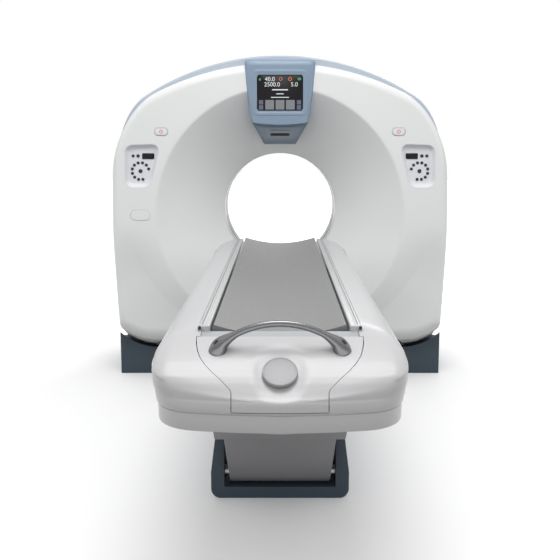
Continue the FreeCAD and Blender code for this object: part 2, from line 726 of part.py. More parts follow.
arch = doc.addObject("Part::Torus", "arch")
bind(arch, Radius1="handle_sweep", Radius2="handle_radius")
arch.Angle3 = 83
arch.Placement = FreeCAD.Placement(
    FreeCAD.Vector(), FreeCAD.Rotation(Y_AXIS, -48.5).multiply(FreeCAD.Rotation(X_AXIS, 90)))
bind(arch, Placement__Base__y="handle_y", Placement__Base__z="handle_top - handle_sweep")
keep(cut(arch, *feet), "grab_handle")

strips = [box(low, high, "slot_start + 30", "head", "bed_height - 32", "bed_height + 1")
          for low, high in (("strip_inner", "strip_outer"), ("-strip_outer", "-strip_inner"))]
keep(group(*strips), "side_strips")
keep(box("-strip_inner", "strip_inner", "slot_start", "cradle_start - 8", "bed_height - 46",
         "bed_height - 38"), "end_recess")


# ---- checks and export --------------------------------------------------

doc.recompute()
for thing in doc.Objects:
    if "Invalid" in thing.State or "Error" in thing.State:
        raise RuntimeError("failed: %s %s" % (thing.Name, thing.State))
for node in nodes:
    if node.Shape.isNull() or not node.Shape.isValid():
        raise RuntimeError("bad shape: %s" % node.Label)

os.makedirs("parts", exist_ok=True)
for node in nodes:
    node.Shape.exportStep(os.path.join("parts", node.Label + ".step"))
print("%d nodes" % len(nodes))
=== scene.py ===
# %% [markdown]
# The imported model of the scanner is the frame that everything is hung on. Its parts are already in
# place, in metres, with +Z up and the patient table's foot end towards -Y. The box round it is kept
# here.

# %% Load the frame
import bmesh
import bpy
import json
import math
from mathutils import Matrix, Vector


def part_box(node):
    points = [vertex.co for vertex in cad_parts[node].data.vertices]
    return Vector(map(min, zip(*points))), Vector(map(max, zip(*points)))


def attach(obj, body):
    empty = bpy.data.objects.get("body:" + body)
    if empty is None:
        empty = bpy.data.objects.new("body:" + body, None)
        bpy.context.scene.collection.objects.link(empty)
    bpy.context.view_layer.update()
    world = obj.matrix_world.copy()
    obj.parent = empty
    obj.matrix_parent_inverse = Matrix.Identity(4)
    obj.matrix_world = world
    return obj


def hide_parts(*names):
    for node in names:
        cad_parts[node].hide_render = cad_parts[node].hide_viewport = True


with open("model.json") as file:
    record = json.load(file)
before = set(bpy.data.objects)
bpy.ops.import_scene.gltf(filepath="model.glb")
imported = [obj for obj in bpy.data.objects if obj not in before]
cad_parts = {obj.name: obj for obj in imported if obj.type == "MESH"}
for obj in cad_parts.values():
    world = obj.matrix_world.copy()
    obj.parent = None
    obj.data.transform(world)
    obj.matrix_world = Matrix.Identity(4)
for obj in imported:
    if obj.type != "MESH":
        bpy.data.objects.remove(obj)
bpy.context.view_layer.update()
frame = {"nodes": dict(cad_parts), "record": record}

# %% [markdown]
# The gantry turns about one point in the middle of its bore, so that point is the natural origin for
# its covers. The bore's lining gives it: the lining is a plain ring, so the middle of its box is the
# middle of the bore.

# %% Where the bore is
liner_low, liner_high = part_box("front_liner")
rear_low, rear_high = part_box("rear_liner")
ISO = Vector((0, (liner_low.y + rear_high.y) / 2, (liner_low.z + liner_high.z) / 2))
BORE = (liner_high.z - liner_low.z) / 2 - 0.005
LIP = ISO.y - liner_low.y
print("bore centre", [round(v, 3) for v in ISO], "radius", round(BORE, 3))

# %% [markdown]
# A camera is an object with a lens. A long lens from a few metres away keeps the ring round and the
# table from ballooning. The camera stands beyond the foot of the table and looks slightly down at
# it. A focal length is given for a sensor 36 mm wide.

# %% Camera
lens = bpy.data.cameras.new("view")
lens.sensor_width = 36
lens.lens = 53.9
lens.clip_end = 60
camera = bpy.data.objects.new("view", lens)
bpy.context.scene.collection.objects.link(camera)
camera.location = (0, -4.125, 1.421)
camera.rotation_euler = (math.radians(80.84), 0, 0)
bpy.context.scene.camera = camera
print("camera at", tuple(round(v, 3) for v in camera.location))

# %% [markdown]
# Soft light comes from large lamps: the bigger the lamp, the softer the edge of a shadow. One hangs
# above and in front, two weaker ones fill the sides and one lights the back. The sky is an even
# near-white, which lifts the shadows as a white studio does.

# %% Lights and sky
def lamp(name, place, aim, size, power):
    light = bpy.data.lights.new(name, "AREA")
    light.shape = "DISK"
    light.size = size
    light.energy = power
    thing = bpy.data.objects.new(name, light)
    bpy.context.scene.collection.objects.link(thing)
    thing.location = place
    thing.rotation_euler = (Vector(aim) - Vector(place)).to_track_quat("-Z", "Y").to_euler()
    return thing


lamp("key", (0.0, -1.6, 4.2), (0, 0.5, 0.8), 2.2, 70)
lamp("left_fill", (-4.2, -0.6, 2.4), (0, 0.8, 0.9), 2.6, 12)
lamp("right_fill", (4.2, -0.6, 2.4), (0, 0.8, 0.9), 2.6, 12)
lamp("back_fill", (1.0, 5.2, 3.6), (0, 1.2, 1.0), 3.0, 45)

sky = bpy.data.worlds.new("studio")
bpy.context.scene.world = sky
sky.use_nodes = True
SKY_STOPS = ((0.0, 0.36), (0.46, 0.42), (0.56, 0.55), (0.80, 0.89), (1.0, 1.0))


def light_the_sky(tree):
    """White where the camera sees it; for lighting, brighter overhead than at the horizon."""
    nodes, links = tree.nodes, tree.links
    up = nodes.new("ShaderNodeSeparateXYZ")
    links.new(nodes.new("ShaderNodeTexCoord").outputs["Generated"], up.inputs[0])
    half = nodes.new("ShaderNodeMath")
    half.operation = "MULTIPLY_ADD"
    half.inputs[1].default_value = half.inputs[2].default_value = 0.5
    links.new(up.outputs["Z"], half.inputs[0])
    ramp = nodes.new("ShaderNodeValToRGB")
    stops = ramp.color_ramp.elements
    while len(stops) < len(SKY_STOPS):
        stops.new(0.5)
    for stop, (place, level) in zip(stops, SKY_STOPS):
        stop.position = place
        stop.color = (level, level, level * 1.01, 1)
    links.new(half.outputs[0], ramp.inputs[0])
    seen = nodes.new("ShaderNodeMix")
    seen.data_type = "RGBA"
    links.new(nodes.new("ShaderNodeLightPath").outputs["Is Camera Ray"], seen.inputs[0])
    links.new(ramp.outputs[0], seen.inputs[6])
    seen.inputs[7].default_value = (1, 1, 1, 1)
    links.new(seen.outputs[2], nodes["Background"].inputs["Color"])


light_the_sky(sky.node_tree)
bpy.context.scene.view_settings.view_transform = "Standard"

# %% [markdown]
# Materials are built from nodes. To keep them readable, the small class below wraps a socket, so that
# sums on sockets read as sums. One method adds every other node: it is told the kind of node, then
# its settings and what goes into its sockets.

# %% A shorthand for shader maths
class Value:
    """A number that a shader node gives, with arithmetic that adds Math nodes."""

    def __init__(self, paint, socket):
        self.paint, self.socket = paint, socket

    def maths(self, operation, *terms):
        node = self.paint.node("ShaderNodeMath", {"operation": operation}, terms)
        return Value(self.paint, node.outputs[0])

    def __add__(self, other): return self.maths("ADD", self, other)
    def __radd__(self, other): return self.maths("ADD", other, self)
    def __sub__(self, other): return self.maths("SUBTRACT", self, other)
    def __rsub__(self, other): return self.maths("SUBTRACT", other, self)
    def __mul__(self, other): return self.maths("MULTIPLY", self, other)
    def __rmul__(self, other): return self.maths("MULTIPLY", other, self)
    def __truediv__(self, other): return self.maths("DIVIDE", self, other)
    def __lt__(self, other): return self.maths("LESS_THAN", self, other)
    def __gt__(self, other): return self.maths("GREATER_THAN", self, other)
    def __abs__(self): return self.maths("ABSOLUTE", self)
    def wave(self): return self.maths("SINE", self)
    def root(self): return self.maths("SQRT", self)


class Paint:
    """A material under construction."""

    def __init__(self, name, roughness=0.4, metallic=0.0, coat=0.0):
        self.material = bpy.data.materials.new(name)
        self.material.use_nodes = True
        self.tree = self.material.node_tree
        self.shader = self.tree.nodes["Principled BSDF"]
        self.shader.inputs["Roughness"].default_value = roughness
        self.shader.inputs["Metallic"].default_value = metallic
        self.shader.inputs["Coat Weight"].default_value = coat
        self.shader.inputs["Coat Roughness"].default_value = 0.12
        place = self.node("ShaderNodeTexCoord")
        self.where = place.outputs["Object"]
        parts = self.node("ShaderNodeSeparateXYZ", inputs=[self.where])
        self.x, self.y, self.z = (Value(self, parts.outputs[i]) for i in range(3))

    def node(self, kind, settings=None, inputs=()):
        node = self.tree.nodes.new(kind)
        for name, setting in (settings or {}).items():
            setattr(node, name, setting)
        pairs = inputs.items() if isinstance(inputs, dict) else enumerate(inputs)
        for key, given in pairs:
            if isinstance(given, Value):
                given = given.socket
            if isinstance(given, bpy.types.NodeSocket):
                self.tree.links.new(given, node.inputs[key])
            else:
                node.inputs[key].default_value = given
        return node

    def noise(self, scale, detail=2.0, stretch=None):
        where = self.where
        if stretch:
            where = self.node("ShaderNodeMapping", inputs={"Vector": where, "Scale": stretch})
            where = where.outputs[0]
        node = self.node("ShaderNodeTexNoise",
                         inputs={"Vector": where, "Scale": scale, "Detail": detail})
        return Value(self, node.outputs["Fac"])

    def mix(self, mask, first, second):
        node = self.node("ShaderNodeMix", {"data_type": "RGBA"})
        for socket, given in zip([s for s in node.inputs if s.enabled], (mask, first, second)):
            if isinstance(given, Value):
                given = given.socket
            if isinstance(given, bpy.types.NodeSocket):
                self.tree.links.new(given, socket)
            else:
                socket.default_value = given if isinstance(given, float) else (*given, 1)
        return next(s for s in node.outputs if s.enabled)

    def colour(self, socket):
        self.tree.links.new(socket, self.shader.inputs["Base Color"])

    def rough(self, value):
        self.tree.links.new(value.socket, self.shader.inputs["Roughness"])

    def bump(self, height, distance, strength=1.0):
        node = self.node("ShaderNodeBump", inputs={"Height": height, "Distance": distance,
                                                   "Strength": strength})
        self.tree.links.new(node.outputs[0], self.shader.inputs["Normal"])


paints = {}
print("shader shorthand ready")

# %% [markdown]
# Most of the machine is moulded plastic or powder coat. Close up, neither is one flat colour: the
# shade drifts a little over a panel, the gloss is uneven, and a fine orange-peel or pebble texture
# breaks up reflections. One function makes that family, and each finish picks its own amounts.

# %% Moulded and coated finishes
def tint(colour, amount):
    return tuple(min(max(c * (1 + amount), 0), 1) for c in colour)


def coated(name, colour, roughness, drift=0.05, grain=600, relief=0.00008, coat=0.0,
           metallic=0.0):
    """Plastic or paint: slow drift of shade and gloss, and a fine surface texture."""
    paint = Paint(name, roughness, metallic, coat)
    cloud = paint.noise(2.3)
    fine = paint.noise(grain, 3)
    paint.colour(paint.mix(cloud, tint(colour, -drift), tint(colour, drift)))
    paint.rough(cloud * 0.10 + fine * 0.06 + (roughness - 0.08))
    paint.bump(fine, relief)
    paints[name] = paint.material
    return paint


WHITE = (0.79, 0.80, 0.795)
coated("cover_white", WHITE, 0.36, 0.018, 420, 0.00005, coat=0.12)
# The table's shell is the same white plastic as the covers, but its colour is set much darker: that darker colour
# paints in the shade that falls on the table.
coated("table_white", (0.505, 0.505, 0.51), 0.36, 0.018, 420, 0.00005, coat=0.25)
coated("trim_blue", (0.43, 0.49, 0.555), 0.36, 0.03, 420, coat=0.1)
coated("bezel_blue", (0.225, 0.305, 0.40), 0.36, 0.035, 500, coat=0.15)
coated("chin_blue", (0.105, 0.158, 0.222), 0.42, 0.04, 500)
coated("pod_plastic", (0.74, 0.75, 0.77), 0.38, 0.02, 700)
coated("key_navy", (0.010, 0.014, 0.055), 0.35, 0.08, 900)
coated("black_plastic", (0.018, 0.018, 0.020), 0.45, 0.1, 700)
coated("liner_plastic", (0.60, 0.61, 0.61), 0.34, 0.02, 500)
coated("window_film", (0.06, 0.06, 0.065), 0.22, 0.05, 300)
coated("navy_paint", (0.033, 0.053, 0.074), 0.46, 0.07, 900, 0.00018)
coated("leg_grey", (0.265, 0.265, 0.272), 0.44, 0.04, 900, 0.00012)
coated("frame_paint", (0.33, 0.35, 0.37), 0.5, 0.06, 800, 0.00018)
coated("motor_iron", (0.10, 0.10, 0.11), 0.55, 0.12, 500, 0.0003)
coated("recess_blue", (0.40, 0.415, 0.43), 0.4, 0.03, 600)
print("coated finishes", len(paints))

# %% [markdown]
# Bare metal shows the tool that finished it. Turned and brushed faces have hair-fine lines, which is
# noise stretched a long way in one direction, and the lines matter more to the gloss than to the
# colour.

# %% Metals
def metal(name, colour, roughness, stretch, drift=0.08):
    """Metal with fine lines along the direction in which the noise is stretched."""
    paint = Paint(name, roughness, 1.0)
    lines = paint.noise(90, 4, stretch)
    cloud = paint.noise(3.0)
    paint.colour(paint.mix(lines, tint(colour, -drift), tint(colour, drift)))
    paint.rough(lines * 0.16 + cloud * 0.06 + (roughness - 0.1))
    paint.bump(lines, 0.00004)
    paints[name] = paint.material
    return paint


metal("bearing_steel", (0.55, 0.56, 0.57), 0.28, (1, 30, 1))
metal("ring_brass", (0.72, 0.53, 0.24), 0.26, (1, 30, 1))
metal("unit_aluminium", (0.62, 0.63, 0.64), 0.38, (1, 1, 30))
coated("strip_grey", (0.48, 0.49, 0.49), 0.34, 0.02, 500, 0.00004, coat=0.2)
coated("badge_metal", (0.36, 0.36, 0.365), 0.55, 0.03, 600, 0.00006, metallic=0.25)
metal("handle_metal", (0.21, 0.21, 0.215), 0.26, (0.5, 12, 12), 0.05)
print("metals", len(paints))

# %% [markdown]
# The cradle is a carbon laminate under a satin grey coat. The weave shows through as a fine basket
# pattern: two sets of ribs at right angles, one hiding the other in turn, here the product of two
# sine waves a few millimetres apart. Sliding wear leaves long faint streaks along it.

# %% Cradle weave
weave = Paint("cradle_grey", 0.5)
PITCH = 2 * math.pi / 0.009
ribs = (weave.x * PITCH).wave() * (weave.y * PITCH).wave()
streaks = weave.noise(16, 4, (6, 0.35, 6))
weave.colour(weave.mix(ribs * 0.12 + streaks * 0.5 + 0.2, (0.19, 0.19, 0.187), (0.25, 0.25, 0.247)))
weave.rough(streaks * 0.14 + ribs * 0.03 + 0.40)
weave.bump(ribs, 0.0003, 0.6)
paints["cradle_grey"] = weave.material
print("weave pitch", round(2 * math.pi / PITCH, 4))

# %% [markdown]
# A bmesh is a mesh being worked on. Most of the covers here are skins drawn through rings: start with
# one ring of points, extrude it, move the new points to where the next ring should be, and go on.
# This is how a lofted surface is made by hand, and it keeps every face a tidy four-sided one.

# %% Drawing a skin through rings
def grow(bm, ring, place):
    """Extrudes a ring of points and puts each new one where place(turn) says."""
    edges = {edge for point in ring for edge in point.link_edges if edge.other_vert(point) in ring}
    new = bmesh.ops.extrude_edge_only(bm, edges=list(edges))["geom"]
    fresh = {}
    for point in (g for g in new if isinstance(g, bmesh.types.BMVert)):
        turn = next(ring[e.other_vert(point)] for e in point.link_edges if e.other_vert(point) in ring)
        fresh[point] = turn
    for point, turn in fresh.items():
        point.co = place(turn)
    return fresh


def skin(places, count, first_cap=False, last_cap=False):
    """A surface through closed rings; each place(turn) gives a ring's point at an angle."""
    bm = bmesh.new()
    points = bmesh.ops.create_circle(bm, segments=count, radius=1, cap_ends=first_cap)["verts"]
    ring = {point: 2 * math.pi * index / count for index, point in enumerate(points)}
    for point, turn in ring.items():
        point.co = places[0](turn)
    for place in places[1:]:
        ring = grow(bm, ring, place)
    if last_cap:
        edges = {e for p in ring for e in p.link_edges if e.other_vert(p) in ring}
        bmesh.ops.contextual_create(bm, geom=list(edges))
    return bm


def sheet_of(across, along, place):
    """A grid whose points go to place(u, v), with u and v from -1 to 1."""
    bm = bmesh.new()
    bmesh.ops.create_grid(bm, x_segments=across, y_segments=along, size=1)
    for point in bm.verts:
        point.co = place(point.co.x, point.co.y)
    return bm


print("ring helpers ready")

# %% [markdown]
# A finished piece is tidied the same way each time: doubles merged, normals turned outwards, faces
# shaded smooth except across real edges, and the mesh put on a body of the frame so that it moves
# with it.

# %% Finishing a piece
def finish(bm, name, body, material, stands_for=(), sharp=32, merge=0.00002, turn_out=True):
    """Makes a mesh object from a bmesh and hangs it on a body."""
    if merge:
        bmesh.ops.remove_doubles(bm, verts=bm.verts[:], dist=merge)
    if turn_out:
        bmesh.ops.recalc_face_normals(bm, faces=bm.faces[:])
    for face in bm.faces:
        face.smooth = True
    for edge in bm.edges:
        if len(edge.link_faces) == 2:
            edge.smooth = edge.calc_face_angle(0) < math.radians(sharp)
    mesh = bpy.data.meshes.new(name)
    bm.to_mesh(mesh)
    bm.free()
    return hang(mesh, name, body, material, stands_for)


def hang(mesh, name, body, material, stands_for=()):
    """Puts a mesh in the scene on a body, with its finish and the nodes that it stands for."""
    thing = bpy.data.objects.new(name, mesh)
    bpy.context.scene.collection.objects.link(thing)
    mesh.materials.clear()
    mesh.materials.append(paints[material])
    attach(thing, body)
    if stands_for:
        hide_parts(*stands_for)
    print("made", name, len(mesh.polygons), "faces")
    return thing


def solid_from(bm):
    """A loose object, only for cutting with."""
    bmesh.ops.recalc_face_normals(bm, faces=bm.faces[:])
    mesh = bpy.data.meshes.new("cutter")
    bm.to_mesh(mesh)
    bm.free()
    thing = bpy.data.objects.new("cutter", mesh)
    bpy.context.scene.collection.objects.link(thing)
    return thing


def carve(bm, cutters, operation="DIFFERENCE"):
    """The bmesh after a boolean with each cutter; the cutters are removed."""
    body = solid_from(bm)
    for cutter in cutters:
        change = body.modifiers.new("carve", "BOOLEAN")
        change.operation = operation
        change.solver = "EXACT"
        change.object = cutter
    result = applied(body)
    for cutter in cutters:
        bpy.data.objects.remove(cutter)
    return result


def applied(thing):
    """A bmesh of a loose object with its modifiers applied; the object is removed."""
    bpy.context.view_layer.update()
    done = bpy.data.meshes.new_from_object(thing.evaluated_get(bpy.context.evaluated_depsgraph_get()))
    result = bmesh.new()
    result.from_mesh(done)
    bpy.data.objects.remove(thing)
    bpy.data.meshes.remove(done)
    return result


def thicken(bm, wall):
    """Gives a skin a wall on its inner side."""
    bmesh.ops.remove_doubles(bm, verts=bm.verts[:], dist=0.00002)
    body = solid_from(bm)
    change = body.modifiers.new("wall", "SOLIDIFY")
    change.thickness = wall
    change.offset = -1
    change.use_even_offset = False
    return applied(body)


def together(parts):
    """One bmesh holding several."""
    whole = bmesh.new()
    for part in parts:
        mesh = bpy.data.meshes.new("part")
        part.to_mesh(mesh)
        part.free()
        whole.from_mesh(mesh)
        bpy.data.meshes.remove(mesh)
    return whole


def mirrored(bm):
    """The same shape on the other side of the machine's middle."""
    copy = bm.copy()
    bmesh.ops.scale(copy, vec=(-1, 1, 1), verts=copy.verts[:])
    bmesh.ops.reverse_faces(copy, faces=copy.faces[:])
    return copy


def both_sides(bm):
    return together([mirrored(bm), bm])


def soften(bm, width, segments=3, angle=35):
    """Rounds every edge that is sharper than an angle."""
    edges = [edge for edge in bm.edges if len(edge.link_faces) == 2
             and edge.calc_face_angle(0) > math.radians(angle)]
    bmesh.ops.bevel(bm, geom=edges, offset=width, segments=segments, profile=0.5,
                    affect="EDGES", material=-1, clamp_overlap=True)
    return bm


print("finishing helpers ready")

# %% [markdown]
# An outline is easiest to round and to inset when it is known as a distance: how far a point is
# inside the edge. Two edges meet in a rounded corner when their distances are joined by an arc. A
# ray from the middle then finds the outline by halving its step until the distance is right.

# %% Outlines as distances
def rounded(first, second, radius):
    """The distance inside two edges whose corner is rounded."""
    if first < radius and second < radius:
        return radius - math.hypot(radius - first, radius - second)
    return min(first, second)


def reach(depth_at, way, inset, far=1.6):
    """How far a ray along way runs from the middle before it is inset from the edge."""
    low, high = 0.0, far
    for _ in range(30):
        middle = (low + high) / 2
        if depth_at(way[0] * middle, way[1] * middle) > inset:
            low = middle
        else:
            high = middle
    return low


def smooth(value, start, end):
    """0 before start, 1 after end, and an easy curve between them."""
    share = min(max((value - start) / (end - start), 0), 1)
    return share * share * (3 - 2 * share)


print("rounded corner", round(rounded(0.1, 0.1, 0.22), 4))

# %% [markdown]
# The gantry's cover has nearly straight bowed sides, an arched roof with round shoulders, and a foot
# cut to the arc that it swings through when it tilts. All its edges are written here as one distance,
# about the centre of the bore, so the front and the rear half share it.

# %% The gantry's outline
HALF_DEPTH = 0.505
SIDE_BOW = 7.2535
ROOF_RADIUS = 1.6477
SHOULDER = 0.22
SWEEP, SWEEP_FLAT, SWEEP_ROUND = 0.900, 0.760, 0.36


def arc_inside(x, z, centre_z, radius):
    return radius - math.hypot(x, z - centre_z)


def foot_inside(x, y, z):
    """How far a point is above the swing of the cover's foot."""
    swing = SWEEP
    over = abs(x) - SWEEP_FLAT
    if over > 0:
        swing = SWEEP - SWEEP_ROUND + math.sqrt(max(SWEEP_ROUND ** 2 - over ** 2, 0))
    return swing - math.hypot(y, z) if z < 0 else 9


def gantry_inside(x, y, z):
    side = 1.005 - SIDE_BOW + math.sqrt(SIDE_BOW ** 2 - (z + 0.1785) ** 2) - abs(x)
    roof = arc_inside(x, z, 0.873 - ROOF_RADIUS, ROOF_RADIUS)
    return min(rounded(side, roof, SHOULDER), foot_inside(x, y, z))


def at_bore(x, y, z):
    return Vector((x, ISO.y + y, ISO.z + z))


print("outline inside at the middle", round(gantry_inside(0, 0, 0), 3))

# %% [markdown]
# From the bore outwards a cover is a lip, a funnel, a crease, the flat face, a soft rim and the side.
# Low down, the front face falls back a little between the crease and a second, larger arc: that is
# the long crescent that catches less light on each side of the table. Each of these is one or more
# rings, and rings close together keep a crease crisp.

# %% Rings of a cover
RIM = 0.050
RIM_STEPS = 7
CREASE = 0.732
FALL = 0.034


def crescent_reach(turn):
    """The larger, higher arc that bounds the crescent, from the bore's centre."""
    centre, radius = 0.124, 0.954
    lean = centre * math.sin(turn)
    return lean + math.sqrt(lean ** 2 + radius ** 2 - centre ** 2)


def face_fall(turn, front):
    return FALL * smooth(-math.sin(turn), 0.06, 0.45) if front else 0.0


def cover_rings(front, funnel):
    """Places for each ring, from the lip at the bore to the middle of the gantry."""
    sign = -1 if front else 1
    slope = (HALF_DEPTH - LIP) / (funnel - BORE)

    def circle(radius, depth):
        return lambda turn: at_bore(radius * math.cos(turn), sign * depth, radius * math.sin(turn))

    def edge(inset, back):
        def place(turn):
            way = (math.cos(turn), math.sin(turn))
            depth = HALF_DEPTH - face_fall(turn, front) - back
            run = reach(lambda x, z: gantry_inside(x, depth, z), way, inset)
            return at_bore(way[0] * run, sign * depth, way[1] * run)
        return place

    def band(share, back_share):
        """Between the crease and the crescent's outer arc, kept inside the face."""
        def place(turn):
            way = (math.cos(turn), math.sin(turn))
            limit = reach(lambda x, z: gantry_inside(x, HALF_DEPTH, z), way, RIM + 0.016)
            outer = min(max(crescent_reach(turn), funnel + 0.01), limit)
            run = funnel + 0.006 + (outer - funnel - 0.006) * share
            return at_bore(way[0] * run, sign * (HALF_DEPTH - face_fall(turn, front) * back_share),
                           way[1] * run)
        return place

    rings = [circle(BORE, LIP - 0.004), circle(BORE + 0.002, LIP + 0.003),
             circle(BORE + 0.006, LIP + 0.008)]
    for step in range(1, 13):
        radius = BORE + 0.006 + (funnel - BORE - 0.018) * step / 12
        belly = 0.012 * math.sin(math.pi * step / 12)
        rings.append(circle(radius, LIP + slope * (radius - BORE) + belly))
    rings += [circle(funnel - 0.006, HALF_DEPTH - 0.006), circle(funnel, HALF_DEPTH - 0.002),
              circle(funnel + 0.006, HALF_DEPTH)]
    if front:
        rings += [band(0.08, 0.06), band(0.35, 0.33), band(0.65, 0.64), band(0.93, 0.93),
                  band(1.0, 1.0)]
    rings += [edge(RIM + 0.012, 0), edge(RIM + 0.003, 0)]
    for step in range(RIM_STEPS + 1):
        angle = math.pi / 2 * step / RIM_STEPS
        rings.append(edge(RIM * (1 - math.sin(angle)), RIM * (1 - math.cos(angle))))
    rings += [edge(0, RIM + 0.008), edge(0, 0.2), edge(0, 0.36), edge(0, HALF_DEPTH - 0.028),
              edge(0, HALF_DEPTH - 0.0045), edge(0.0025, HALF_DEPTH - 0.002),
              edge(0.008, HALF_DEPTH - 0.002)]
    return rings


print("front cover rings", len(cover_rings(True, CREASE)))

# %% [markdown]
# Windows for the pods, the stop buttons and the access plate go through the front cover. A cutter is
# a solid drawn from the same kind of outline, a little longer than the wall is thick. The underside
# is opened as well, since the side stands come up through it.

# %% Outlines of the windows
POD = [(-0.918, 0.150), (-0.765, 0.148), (-0.700, 0.408), (-0.915, 0.402)]
POD_MIDDLE = (-0.826, 0.277)
POD_ROUND = 0.048
BUTTON = (0.695, 0.477)
BUTTON_SIZE = (0.078, 0.046)
PLATE = (-0.830, -0.013)
PLATE_SIZE = (0.116, 0.062)


def pod_inside(u, v):
    """Distance inside the pod's leaning window, from the pod's middle."""
    x, z = u + POD_MIDDLE[0], v + POD_MIDDLE[1]
    gaps = []
    for (ax, az), (bx, bz) in zip(POD, POD[1:] + POD[:1]):
        length = math.hypot(bx - ax, bz - az)
        gaps.append(((bx - ax) * (z - az) - (bz - az) * (x - ax)) / length)
    return min(rounded(gaps[i], gaps[(i + 1) % 4], POD_ROUND) for i in range(4))


def oval_inside(size):
    flat = (size[0] - size[1]) / 2
    return lambda u, v: size[1] / 2 - math.hypot(max(abs(u) - flat, 0), v)


def plug(inside, middle, side, depths, count=48):
    """A skin or solid through rings of one outline: depths lists (inset, y from the bore)."""
    def ring(inset, depth):
        def place(turn):
            way = (math.cos(turn), math.sin(turn))
            run = reach(inside, way, inset, 0.4)
            return at_bore(side * (middle[0] + way[0] * run), depth, middle[1] + way[1] * run)
        return place
    return lambda first, last: skin([ring(i, d) for i, d in depths], count, first, last)


def window(inside, middle, side, inset=0.0, count=48):
    ends = [(inset, -HALF_DEPTH - 0.02), (inset, -HALF_DEPTH + 0.045)]
    return solid_from(plug(inside, middle, side, ends, count)(True, True))


print("pod window", [round(reach(pod_inside, way, 0, 0.4), 3) for way in ((1, 0), (0, 1))])

# %% Front and rear covers
def stand_slot(bm):
    """Opens the underside behind a narrow lip."""
    floor = [face for face in bm.faces
             if face.calc_center_median().z < ISO.z - 0.45
             and foot_inside(*(face.calc_center_median() - ISO)) < 0.004
             and abs(face.calc_center_median().y - ISO.y) < HALF_DEPTH - RIM - 0.02]
    bmesh.ops.delete(bm, geom=floor, context="FACES")


cutters = []
for side in (1, -1):
    cutters.append(window(pod_inside, POD_MIDDLE, side, 0.0015))
    cutters.append(window(oval_inside((0.081, 0.049)), BUTTON, side))
cutters.append(window(oval_inside((0.1185, 0.0645)), PLATE, 1))
front = skin(cover_rings(True, CREASE), 320)
stand_slot(front)
front = carve(thicken(front, 0.006), cutters)
finish(front, "front_cover_skin", "gantry", "cover_white", ["front_cover"])

rear = skin(cover_rings(False, 0.660), 320)
stand_slot(rear)
finish(thicken(rear, 0.006), "rear_cover_skin", "gantry", "cover_white", ["rear_cover"])

# %% [markdown]
# The roof carries a raised band in pale blue, from one shoulder over to the other. It is a grid bent
# over the roof, with its long edges turned down in a small arc, and then given a thickness.

# %% Roof band
BAND_HALF, BAND_ROUND = 0.440, 0.022
BAND_ARC = 1.4778


def band_inside(x, z):
    return rounded(0.962 - abs(x), arc_inside(x, z, 0.919 - BAND_ARC, BAND_ARC), 0.160)


def on_band(u, v):
    turn = math.radians(90 - 66.5 * u)
    way = (math.cos(turn), math.sin(turn))
    over = max(abs(v) - 0.85, 0) / 0.15 * math.pi / 2
    inset = BAND_ROUND * (1 - math.cos(over))
    flat = (BAND_HALF - BAND_ROUND) * min(abs(v) / 0.85, 1)
    depth = math.copysign(flat + BAND_ROUND * math.sin(over), v)
    if abs(v) > 0.999:
        inset += 0.03
    return at_bore(way[0] * reach(band_inside, way, inset), depth, way[1] * reach(band_inside, way, inset))


roof = sheet_of(144, 40, on_band)
finish(thicken(roof, 0.010), "roof_band", "gantry", "trim_blue", ["roof_trim"])

# %% [markdown]
# The display housing stands proud of the face over the bore. From the front it narrows in a long S
# towards the funnel; from the side it is upright and then folds back under. It is lofted upwards
# through rounded rectangles, with extra rings at the fold. A shallow raised frame goes round the
# screen.

# %% Display housing
BEZEL_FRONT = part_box("display_bezel")[0].y - ISO.y
HOUSING = [  # height, half width, depth of the front face
    (0.405, 0.086, -0.250), (0.4052, 0.094, -0.256), (0.412, 0.101, -0.268), (0.430, 0.108, -0.300),
    (0.455, 0.121, -0.362), (0.480, 0.136, -0.425), (0.505, 0.150, -0.484), (0.514, 0.155, -0.505),
    (0.521, 0.159, -0.516), (0.530, 0.163, -0.5205), (0.545, 0.168, -0.522), (0.580, 0.175, -0.522),
    (0.640, 0.184, -0.522), (0.700, 0.191, -0.522), (0.780, 0.199, -0.522), (0.850, 0.2045, -0.522),
    (0.872, 0.205, -0.520), (0.884, 0.2035, -0.512), (0.890, 0.199, -0.500), (0.8915, 0.19, -0.486)]


FOLD_SAG = 0.013


def housing_ring(height, half, face):
    sag = FOLD_SAG * smooth(height, 0.43, 0.51) * (1 - smooth(height, 0.53, 0.62))
    back = -0.44 if height > 0.6 else face + 0.14
    corner = min(0.022, half * 0.4)
    middle = (face + back) / 2

    def inside(x, y):
        return rounded(half - abs(x), (back - face) / 2 - abs(y), corner)

    def place(turn):
        way = (math.cos(turn), math.sin(turn))
        run = reach(inside, way, 0, 0.5)
        across = way[0] * run / half
        return at_bore(way[0] * run, middle + way[1] * run, height - sag * (1 - across * across))
    return place


def housing_part(low, high):
    rows = [row for row in HOUSING if low <= row[0] <= high]
    return skin([housing_ring(*row) for row in rows], 96, True, True)


def rectangle_inside(half_width, half_height, corner):
    return lambda u, v: rounded(half_width - abs(u), half_height - abs(v), corner)


